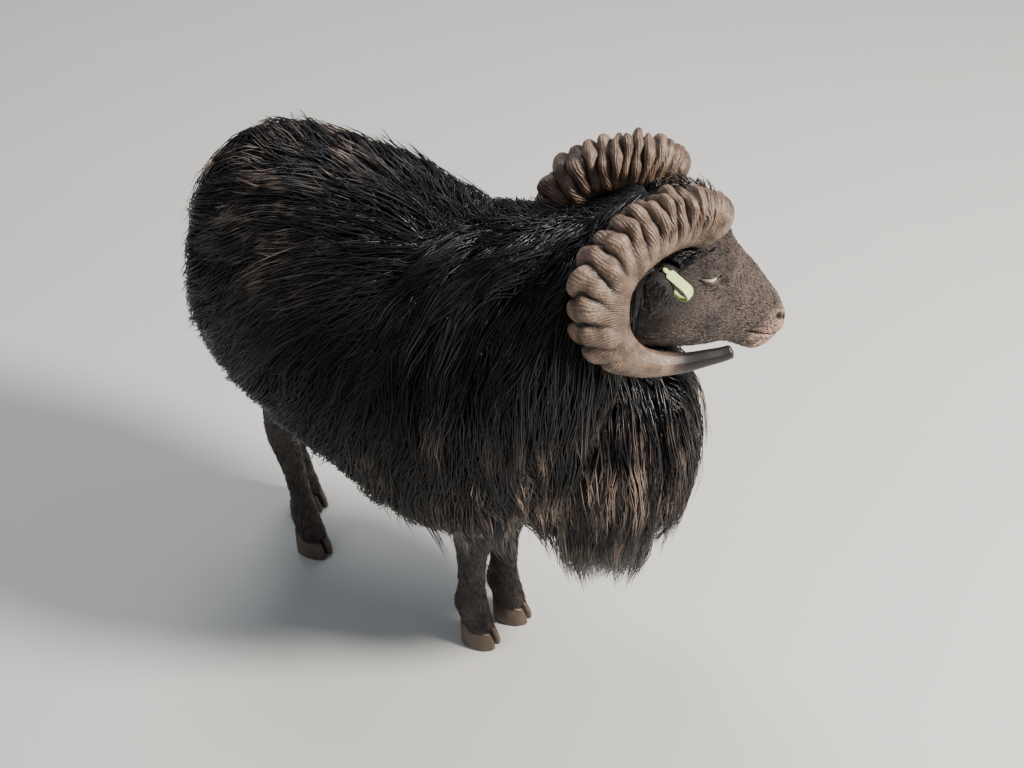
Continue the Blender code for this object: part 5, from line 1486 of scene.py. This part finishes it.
draw = np.random.default_rng(41)
place, angle = scatter(draw, crown, 105, (0.0, 2.9), (-1.35, 1.35))
coat.append(grow("coat_crown", crown, (place, angle), 14, draw, 0.032, 0.70, spread=0.006, width=0.0006,
                 wave=0.003, wavelength=0.022, droop=0.0, gather=0.6, fluff=0.003))
draw = np.random.default_rng(42)
place, side_angle = scatter(draw, crown, 60, (0.0, 1.9), (1.2, 3.0))
for side, name in SIDES:
    coat.append(grow("coat_throat_" + name, crown, (place, side * side_angle), 12, draw, 0.045, 0.7,
                     spread=0.006, width=0.0007, rows=5, wave=0.002, wavelength=0.03, droop=0.2, gather=0.6))
coat_triangles = sum(triangles(piece) for piece in coat)
print("coat:", coat_triangles, "and short hair:", sum(triangles(piece) for piece in hair), "triangles")

# %% [markdown]
# Materials. The markings of the face are told in the head's own frame, which a Mapping node turns the
# object's coordinates into, so skin and hair read the same colours at the same place.

# %% Node helpers


class Tree:
    """A small helper that adds nodes and links them."""

    def __init__(self, tree):
        self.tree, self.x = tree, -1400

    def node(self, kind, **values):
        made = self.tree.nodes.new(kind)
        made.location = (self.x, 0)
        self.x += 90
        for key, value in values.items():
            setattr(made, key, value)
        return made

    def link(self, source, target):
        self.tree.links.new(source, target)

    def math(self, operation, first, second=None, clamp=False):
        made = self.node("ShaderNodeMath", operation=operation, use_clamp=clamp)
        for socket, value in zip(made.inputs, (first, second)):
            if value is None:
                continue
            if isinstance(value, (int, float)):
                socket.default_value = value
            else:
                self.link(value, socket)
        return made.outputs[0]

    def times(self, first, *others):
        for other in others:
            first = self.math("MULTIPLY", first, other)
        return first

    def plus(self, first, *others):
        for other in others:
            first = self.math("ADD", first, other)
        return first

    def minus(self, first, second):
        return self.math("SUBTRACT", first, second)

    def split(self, vector):
        made = self.node("ShaderNodeSeparateXYZ")
        self.link(vector, made.inputs[0])
        return made.outputs

    def place(self):
        return self.node("ShaderNodeTexCoord").outputs["Object"]

    def stretch(self, vector, scale):
        made = self.node("ShaderNodeMapping", vector_type="POINT")
        self.link(vector, made.inputs["Vector"])
        made.inputs["Scale"].default_value = scale
        return made.outputs[0]

    def mix(self, share, first, second, blend="MIX"):
        made = self.node("ShaderNodeMix", data_type="RGBA", blend_type=blend)
        for socket, value in zip((made.inputs[0], made.inputs[6], made.inputs[7]), (share, first, second)):
            if isinstance(value, tuple):
                socket.default_value = (*value, 1.0)
            elif isinstance(value, (int, float)):
                socket.default_value = value
            else:
                self.link(value, socket)
        return made.outputs[2]

    def span(self, value, low, high, to_low=0.0, to_high=1.0):
        made = self.node("ShaderNodeMapRange", interpolation_type="SMOOTHSTEP")
        self.link(value, made.inputs[0])
        for socket, number in zip(made.inputs[1:5], (low, high, to_low, to_high)):
            socket.default_value = number
        return made.outputs[0]

    def noise(self, vector, scale, detail=3.0, roughness=0.5):
        made = self.node("ShaderNodeTexNoise")
        made.inputs["Scale"].default_value = scale
        made.inputs["Detail"].default_value = detail
        made.inputs["Roughness"].default_value = roughness
        if vector is not None:
            self.link(vector, made.inputs["Vector"])
        return made.outputs[0]


# %% Groups, materials and bumps


def group(name, outputs):
    """A new shader node group that puts out colours and values."""
    made = bpy.data.node_groups.new(name, "ShaderNodeTree")
    kinds = {"colour": "NodeSocketColor", "value": "NodeSocketFloat"}
    for label, kind in outputs:
        made.interface.new_socket(label, in_out="OUTPUT", socket_type=kinds[kind])
    return made, Tree(made)


def material(name, roughness=0.5, specular=0.5):
    """A new material with its shader and a node helper."""
    made = bpy.data.materials.new(name)
    made.use_nodes = True
    shader = made.node_tree.nodes["Principled BSDF"]
    shader.inputs["Roughness"].default_value = roughness
    shader.inputs["Specular IOR Level"].default_value = specular
    return made, shader, Tree(made.node_tree)


def paint(made, colour, objects):
    """Gives a new material its colour and puts it on objects."""
    tree = made.node_tree
    tree.links.new(colour, tree.nodes["Principled BSDF"].inputs["Base Color"])
    for obj in objects:
        obj.data.materials.clear()
        obj.data.materials.append(made)
    print(made.name, len(tree.nodes), "nodes, on", len(objects), "pieces")


def bump(tools, shader, height, distance):
    """Links a height to the shader's normal through a bump node."""
    made = tools.node("ShaderNodeBump")
    made.inputs["Strength"].default_value = 1.0
    made.inputs["Distance"].default_value = distance
    tools.link(height, made.inputs["Height"])
    tools.link(made.outputs[0], shader.inputs["Normal"])


# %% [markdown]
# The face is dark brown, with painted shade behind the eye, a chestnut forehead and a pale muzzle. The ears
# are black, and the legs are dark with some brown. One group works all this out from the place alone: it has
# the colour of the short fur with its painted shade, the grain of its hairs, and a mask of where the wool is
# sun-bleached brown and lit by painted highlights.

# %% Colours of the ram
FACE_DARK, FACE_BROWN = (0.040, 0.0290, 0.0245), (0.078, 0.055, 0.045)
FOREHEAD = (0.060, 0.030, 0.020)
MUZZLE = (0.340, 0.220, 0.175)
EAR_BLACK = (0.008, 0.0066, 0.0064)
LEG_DARK, LEG_BROWN = (0.012, 0.0085, 0.0075), (0.036, 0.025, 0.020)
UNDERWOOL = (0.0035, 0.0033, 0.0036)
# Wool: black, a painted cold sheen that stands for the sky's reflection, and sun-bleached brown brightened
# into painted sunlit highlights
WOOL_BLACK, WOOL_PAINTED_SHEEN = (0.0022, 0.0022, 0.0030), (0.0135, 0.0132, 0.0160)
WOOL_BLEACHED_AND_LIT = (0.340, 0.255, 0.200)

# %% The head's own frame in the group
markings_and_light, tools = group("ram_markings_and_light", (("Fur_and_shade", "colour"), ("Bleach_and_highlight", "value"), ("Grain", "value")))
place = tools.place()
mapping = tools.node("ShaderNodeMapping", vector_type="POINT")
tools.link(place, mapping.inputs["Vector"])
mapping.inputs["Rotation"].default_value = Matrix(HEAD_AXES.tolist()).to_euler("XYZ")
mapping.inputs["Location"].default_value = tuple(-HEAD_AXES @ (HEAD_ORIGIN + SHIFT))
in_head = mapping.outputs[0]
forward, left, up = tools.split(in_head)
away = tools.node("ShaderNodeVectorMath", operation="DISTANCE")
tools.link(in_head, away.inputs[0])
away.inputs[1].default_value = (0.188, 0.0, -0.022)
blur = tools.times(tools.minus(tools.noise(place, 90.0), 0.5), 0.012)
muzzle = tools.span(tools.plus(away.outputs["Value"], blur), 0.0260, 0.0410, 1.0, 0.0)
brow = tools.times(tools.span(forward, 0.005, 0.03), tools.span(forward, 0.085, 0.135, 1.0, 0.0),
                   tools.span(up, 0.014, 0.040), tools.span(tools.noise(place, 40.0), 0.28, 0.66))
from_left = tools.math("ABSOLUTE", left)
ear = tools.times(tools.span(forward, 0.030, 0.040, 1.0, 0.0), tools.span(from_left, 0.040, 0.047))
print("the markings group reads the head's frame through", len(markings_and_light.nodes), "nodes so far")

# %% The colours of the face
mottle = tools.span(tools.noise(place, 55.0, 5.0, 0.62), 0.30, 0.72)
fur = tools.mix(mottle, FACE_DARK, FACE_BROWN)
fur = tools.mix(brow, fur, FOREHEAD)
fur = tools.mix(tools.times(muzzle, 0.88), fur, MUZZLE)
one_side = tools.node("ShaderNodeCombineXYZ")
for socket, value in zip(one_side.inputs, (forward, from_left, up)):
    tools.link(value, socket)


def spot(place, near, far):
    """1 within a distance of a place on both sides of the head, and 0 beyond a farther one."""
    apart = tools.node("ShaderNodeVectorMath", operation="DISTANCE")
    tools.link(one_side.outputs[0], apart.inputs[0])
    apart.inputs[1].default_value = place
    return tools.span(apart.outputs["Value"], near, far, 1.0, 0.0)


# %% Painted shade on the face, and the body
# They are painted shade: on the side behind the eye, in the hollow above it, in its front corner, in the
# nostril and under the upper lip
SHADE_PLACES = (  # forward, out and up, where it begins and stops to fade, how dark
    ((0.0760, 0.0340, 0.0180), 0.0040, 0.0130, 0.75),
    ((0.0815, 0.0365, 0.0040), 0.0030, 0.0070, 0.95),
    ((0.1800, 0.0170, -0.0028), 0.0022, 0.0050, 0.97),
    ((0.1735, 0.0205, -0.0040), 0.0022, 0.0050, 0.97),
)
shade = tools.times(tools.span(forward, 0.040, 0.090, 1.0, 0.0), 0.70)
for at, near, far, deep in SHADE_PLACES:
    shade = tools.math("MAXIMUM", shade, tools.times(spot(at, near, far), deep))
# A painted shadow lies along the line of the mouth, under the upper lip
line = tools.plus(up, 0.0325, tools.times(tools.minus(forward, 0.155), -0.407))
lip_shadow = tools.span(tools.math("ABSOLUTE", line), 0.0006, 0.0020, 1.0, 0.0)
lip_shadow = tools.times(lip_shadow, tools.span(forward, 0.150, 0.157))
shade = tools.math("MAXIMUM", shade, tools.times(lip_shadow, 0.90))
# The face takes its painted shade here
fur = tools.mix(shade, fur, (0.010, 0.0070, 0.0062))
fur = tools.mix(ear, fur, EAR_BLACK)
on_head = tools.times(tools.span(forward, -0.02, 0.02), tools.span(up, -0.112, -0.100))
legs = tools.mix(mottle, LEG_DARK, LEG_BROWN)
body = tools.mix(tools.span(tools.split(place)[2], 0.22, 0.27, 1.0, 0.0), UNDERWOOL, legs)
fur = tools.mix(on_head, body, fur)
ends = tools.node("NodeGroupOutput")
tools.link(fur, ends.inputs["Fur_and_shade"])

# %% The grain of the short fur
# It runs along the head, and down the legs
along_head, along_legs = (
    tools.noise(tools.stretch(coordinates, scale), 1100.0, 2.0, 0.6)
    for coordinates, scale in ((in_head, (0.22, 1.0, 1.0)), (place, (1.0, 1.0, 0.22)))
)
at_head = tools.times(tools.span(forward, -0.03, 0.01), tools.span(up, -0.13, -0.11))
low_part = tools.times(along_legs, tools.minus(1.0, at_head))
tools.link(tools.plus(low_part, tools.times(along_head, at_head)), ends.inputs["Grain"])

# %% Sun-bleached tips and painted sunlit highlights on the wool
# The tips are sun-bleached brown, and this mask also places painted sunlit highlights, in streaks: on the
# lower shoulder, over the rump, and between the horns
x, _, z = tools.split(place)
shoulder = tools.times(tools.span(x, -0.05, 0.06), tools.span(z, 0.30, 0.40, 1.0, 0.0))
over_rump = tools.times(tools.span(x, -0.14, -0.03, 1.0, 0.0), tools.span(z, 0.40, 0.47))
poll = tools.times(tools.span(forward, -0.06, -0.02), tools.span(up, 0.02, 0.05))
bleach_and_sunlit = tools.plus(shoulder, over_rump, poll)
streaks = tools.span(tools.noise(tools.stretch(place, (1.0, 1.0, 0.45)), 36.0, 2.0), 0.40, 0.68)
broad = tools.span(tools.noise(place, 7.0, 1.0), 0.44, 0.66)
# This mask sets where the wool is sun-bleached and where painted sunlit highlights lie on it
bleach_and_sunlit = tools.math("ADD", tools.times(bleach_and_sunlit, 0.85), tools.times(broad, 0.10), True)
tools.link(tools.times(streaks, bleach_and_sunlit), ends.inputs["Bleach_and_highlight"])
print("the whole markings group has", len(markings_and_light.nodes), "nodes")


def marked(tools):
    """The group of markings, painted shade and painted highlights, placed in a material."""
    made = tools.node("ShaderNodeGroup")
    made.node_tree = markings_and_light
    return made


# %% [markdown]
# Short fur has no shine of its own, but its hairs catch light one by one. The grain lightens and darkens
# the colour from hair to hair, and lifts the surface by a hair's height.

# %% Skin
skin_material, shader, tools = material("short_fur", roughness=0.56, specular=0.40)
marks_and_light = marked(tools)
grain = marks_and_light.outputs["Grain"]
shaded = tools.mix(tools.span(grain, 0.36, 0.60), (0.10, 0.10, 0.10), (1.70, 1.68, 1.64))
bump(tools, shader, grain, 0.0016)
paint(skin_material, tools.mix(1.0, marks_and_light.outputs["Fur_and_shade"], shaded, "MULTIPLY"), [skin])

# %% [markdown]
# A lock of black wool is nearly black at its root. Some strands carry a painted cold sheen, and the tips are
# bleached brown, brightened into painted sunlit highlights where the sun fell. Each strand holds its own
# tint, and its share from root to tip, in a map, so one material does for all of them.

# %% Wool
wool, _, tools = material("wool", roughness=0.31, specular=0.38)
marks_and_light = marked(tools)
tint, share, _ = tools.split(tools.node("ShaderNodeUVMap", uv_map="Strand").outputs[0])
# Strands with a high tint carry the painted cold sheen
base = tools.mix(tools.span(tint, 0.10, 0.90), WOOL_BLACK, WOOL_PAINTED_SHEEN)
tip = tools.span(share, 0.15, 0.80)
# Tips are sun-bleached brown, brightened into painted sunlit highlights where the sun mask is high
bleached_and_lit = tools.times(tip, tools.span(tint, 0.30, 0.75))
bleached_and_lit = tools.math("MULTIPLY", bleached_and_lit, tools.plus(marks_and_light.outputs["Bleach_and_highlight"], 0.02), True)
paint(wool, tools.mix(bleached_and_lit, base, WOOL_BLEACHED_AND_LIT), coat)

# %% Short hair's colour, darker at the roots and with painted highlights at the tips
hair_material, _, tools = material("hair", roughness=0.46, specular=0.45)
marks_and_light = marked(tools)
tint, share, _ = tools.split(tools.node("ShaderNodeUVMap", uv_map="Strand").outputs[0])
# The tips of some hairs are lightened into painted highlights, and the rest are darkened
tip_highlight = tools.times(tools.span(share, 0.1, 0.9), tools.span(tint, 0.3, 1.0))
tip_highlight = tools.mix(tip_highlight, (0.28, 0.28, 0.28), (6.0, 5.7, 5.4))
paint(hair_material, tools.mix(1.0, marks_and_light.outputs["Fur_and_shade"], tip_highlight, "MULTIPLY"), hair)

# %% [markdown]
# Horn is brown and grey like old wood, with painted shade darkening the grooves between the ridges. Fine
# growth rings run round it, and it fades to a smooth black tip. Two attributes of its mesh tell how far a
# point is along the horn, and how high it lies on its ridge, which sets where the painted shade goes.

# %% Horn
horn_material, shader, tools = material("horn", roughness=0.44, specular=0.5)
place = tools.place()
length = tools.node("ShaderNodeAttribute", attribute_name="length").outputs["Fac"]
ridge_shade = tools.node("ShaderNodeAttribute", attribute_name="ridge_shade").outputs["Fac"]
patchy = tools.noise(place, 70.0, 5.0, 0.62)
ridge_shade = tools.plus(ridge_shade, tools.times(tools.minus(patchy, 0.5), 0.5))
FINE_RINGS, FINE_WANDER = 900.0, 22.0
fine = tools.times(tools.noise(place, 45.0, 3.0), FINE_WANDER)
fine = tools.plus(tools.times(length, FINE_RINGS), fine)
fine = tools.span(tools.math("SINE", fine), -1.0, 1.0)
seen = tools.plus(tools.span(tools.noise(place, 28.0), 0.32, 0.66), 0.12)
seen = tools.times(seen, tools.span(length, 0.58, 0.76, 1.0, 0.04))
fine = tools.times(fine, seen)
base = tools.mix(tools.span(patchy, 0.32, 0.68), (0.092, 0.055, 0.037), (0.255, 0.168, 0.118))
base = tools.mix(tools.times(fine, 0.55), base, (0.070, 0.042, 0.029))
# Painted shade darkens the grooves between the ridges
base = tools.mix(tools.span(ridge_shade, 0.10, 0.66), (0.016, 0.010, 0.008), base)
stains = tools.times(tools.span(tools.noise(place, 320.0, 3.0), 0.50, 0.75), 0.5)
base = tools.mix(stains, base, (0.085, 0.060, 0.045))
base = tools.mix(tools.span(length, 0.77, 0.87), base, (0.012, 0.010, 0.010))
rough = tools.plus(tools.noise(place, 420.0, 4.0, 0.6), tools.times(patchy, 2.0))
rough = tools.times(rough, tools.span(length, 0.74, 0.86, 1.0, 0.12))
bump(tools, shader, tools.minus(rough, tools.times(fine, 0.7)), 0.0008)
paint(horn_material, base, horns)

# %% [markdown]
# A claw is the same stuff as horn, but darker and drawn out downwards, with some wear. The tag is soft
# green plastic that weather has dulled in patches, so both have a plain colour with a little noise in it.

# %% Hoof
hoof_material, shader, tools = material("hoof", roughness=0.42, specular=0.5)
place = tools.place()
grown = tools.noise(tools.stretch(place, (1.0, 1.0, 0.2)), 260.0, 3.0)
base = tools.mix(grown, (0.035, 0.024, 0.018), (0.120, 0.082, 0.056))
bump(tools, shader, tools.noise(place, 240.0, 3.0), 0.0004)
paint(hoof_material, base, hooves)

# %% Tag
tag_material, shader, tools = material("tag_plastic", roughness=0.34, specular=0.5)
place = tools.place()
TAG_GREEN, TAG_WORN = (0.60, 0.74, 0.27), (0.50, 0.60, 0.22)
base = tools.mix(tools.span(tools.noise(place, 220.0, 3.0), 0.35, 0.75), TAG_GREEN, TAG_WORN)
bump(tools, shader, tools.noise(place, 500.0, 2.0), 0.0001)
paint(tag_material, base, [tag])

# %% [markdown]
# A sheep's iris is pale amber, and its pupil is a slot that lies level. The slot is a rounded box: the
# fourth powers of both distances are added, and what is below one is black. The wet surface is smooth.

# %% Eye
eye_material, _, tools = material("eye", roughness=0.06, specular=0.6)
disc = tools.split(tools.node("ShaderNodeUVMap", uv_map="UVMap").outputs[0])
x, y = (tools.minus(value, 0.5) for value in (disc[0], disc[1]))
from_middle = tools.math("SQRT", tools.plus(tools.times(x, x), tools.times(y, y)))
iris = tools.mix(tools.span(from_middle, 0.16, 0.30), (0.86, 0.76, 0.52), (0.70, 0.55, 0.33))
iris = tools.mix(tools.span(from_middle, 0.29, 0.34), iris, (0.80, 0.70, 0.55))
slot_x = tools.times(x, 6.2)
slot_y = tools.times(tools.minus(y, 0.055), 26.0)
slot_x, slot_y = (tools.math("POWER", tools.math("ABSOLUTE", value), 4.0) for value in (slot_x, slot_y))
slot = tools.plus(slot_x, slot_y)
iris = tools.mix(tools.span(slot, 0.7, 1.2), (0.004, 0.004, 0.005), iris)
paint(eye_material, iris, eyes)

# %% Edge of the lids
rim_material, _, tools = material("lid_edge", roughness=0.35, specular=0.5)
base = tools.mix(tools.noise(tools.place(), 400.0), (0.010, 0.008, 0.008), (0.035, 0.022, 0.019))
paint(rim_material, base, [lid_rims])

# %% [markdown]
# The stage is a plain pale floor under soft lamps. The camera stands where the photographer stood: in
# front of the ram's right shoulder and well above it.

# %% Floor
bpy.ops.mesh.primitive_plane_add(size=14, location=(0, 0, 0))
floor = bpy.context.object
floor.name = "floor"
floor.data.transform(Matrix.Translation((0, 0, -0.0005)))
floor_material, _, tools = material("floor", roughness=0.85, specular=0.2)
base = tools.mix(tools.noise(tools.place(), 3.0), (0.60, 0.60, 0.58), (0.64, 0.63, 0.61))
paint(floor_material, base, [floor])
floor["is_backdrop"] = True

# %% Camera
AZIMUTH, ELEVATION = math.radians(36), math.radians(38)
CAMERA_PLACE = np.array((0.856, -0.972, 1.289)) + SHIFT
level_view = np.array((-math.sin(AZIMUTH), math.cos(AZIMUTH), 0.0))
view = math.cos(ELEVATION) * level_view - math.sin(ELEVATION) * UPWARD
right = np.array((math.cos(AZIMUTH), math.sin(AZIMUTH), 0.0))
camera_data = bpy.data.cameras.new("camera")
camera_data.lens, camera_data.sensor_width, camera_data.sensor_fit = 56.25, 36.0, "HORIZONTAL"
camera_data.clip_start, camera_data.clip_end = 0.05, 60
camera = add_object("camera", camera_data)
camera.location = CAMERA_PLACE
camera.rotation_euler = Vector(view).to_track_quat("-Z", "Y").to_euler()
bpy.context.scene.camera = camera
print("the camera stands at", CAMERA_PLACE.round(3))

# %% [markdown]
# A black fleece shows its form only by its highlights. A strong key lamp from the camera's right rakes over
# the locks, a lamp from above and behind lights the back and the horns, and a weak one fills the shadows.

# %% Lamps and sky
TARGET = np.array((0.05, 0.0, 0.30)) + SHIFT
LAMPS = (  # name, to the camera's right, towards the camera, height, size, watts, colour
    ("key", 2.1, 0.7, 1.7, 0.6, 185, (1.0, 0.94, 0.86)),
    ("fill", -1.9, 1.6, 2.0, 2.6, 12, (0.88, 0.94, 1.0)),
    ("top", -0.3, -1.3, 2.6, 1.2, 42, (0.95, 0.97, 1.0)),
)
for name, across, towards, height, size, watts, colour in LAMPS:
    lamp = bpy.data.lights.new(name, "AREA")
    lamp.shape, lamp.size, lamp.energy, lamp.color = "DISK", size, watts, colour
    holder = add_object(name, lamp)
    stand = TARGET + across * right - towards * level_view + np.array((0, 0, height))
    holder.location = stand
    holder.rotation_euler = Vector(TARGET - stand).to_track_quat("-Z", "Y").to_euler()
world = bpy.data.worlds.new("studio")
bpy.context.scene.world = world
world.use_nodes = True
world.node_tree.nodes["Background"].inputs[0].default_value = (0.80, 0.86, 0.95, 1)
world.node_tree.nodes["Background"].inputs[1].default_value = 0.29
print(len(LAMPS), "lamps of", sum(lamp[5] for lamp in LAMPS), "watts in all")

# %% Sizes, and the end
dressed_box = [list(map(float, corner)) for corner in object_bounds()]
grown = [round(1000 * (dressed_box[i][a] - cad_box[i][a]), 1) for i in (0, 1) for a in range(3)]
print("dressed box minus CAD box in mm:", grown)
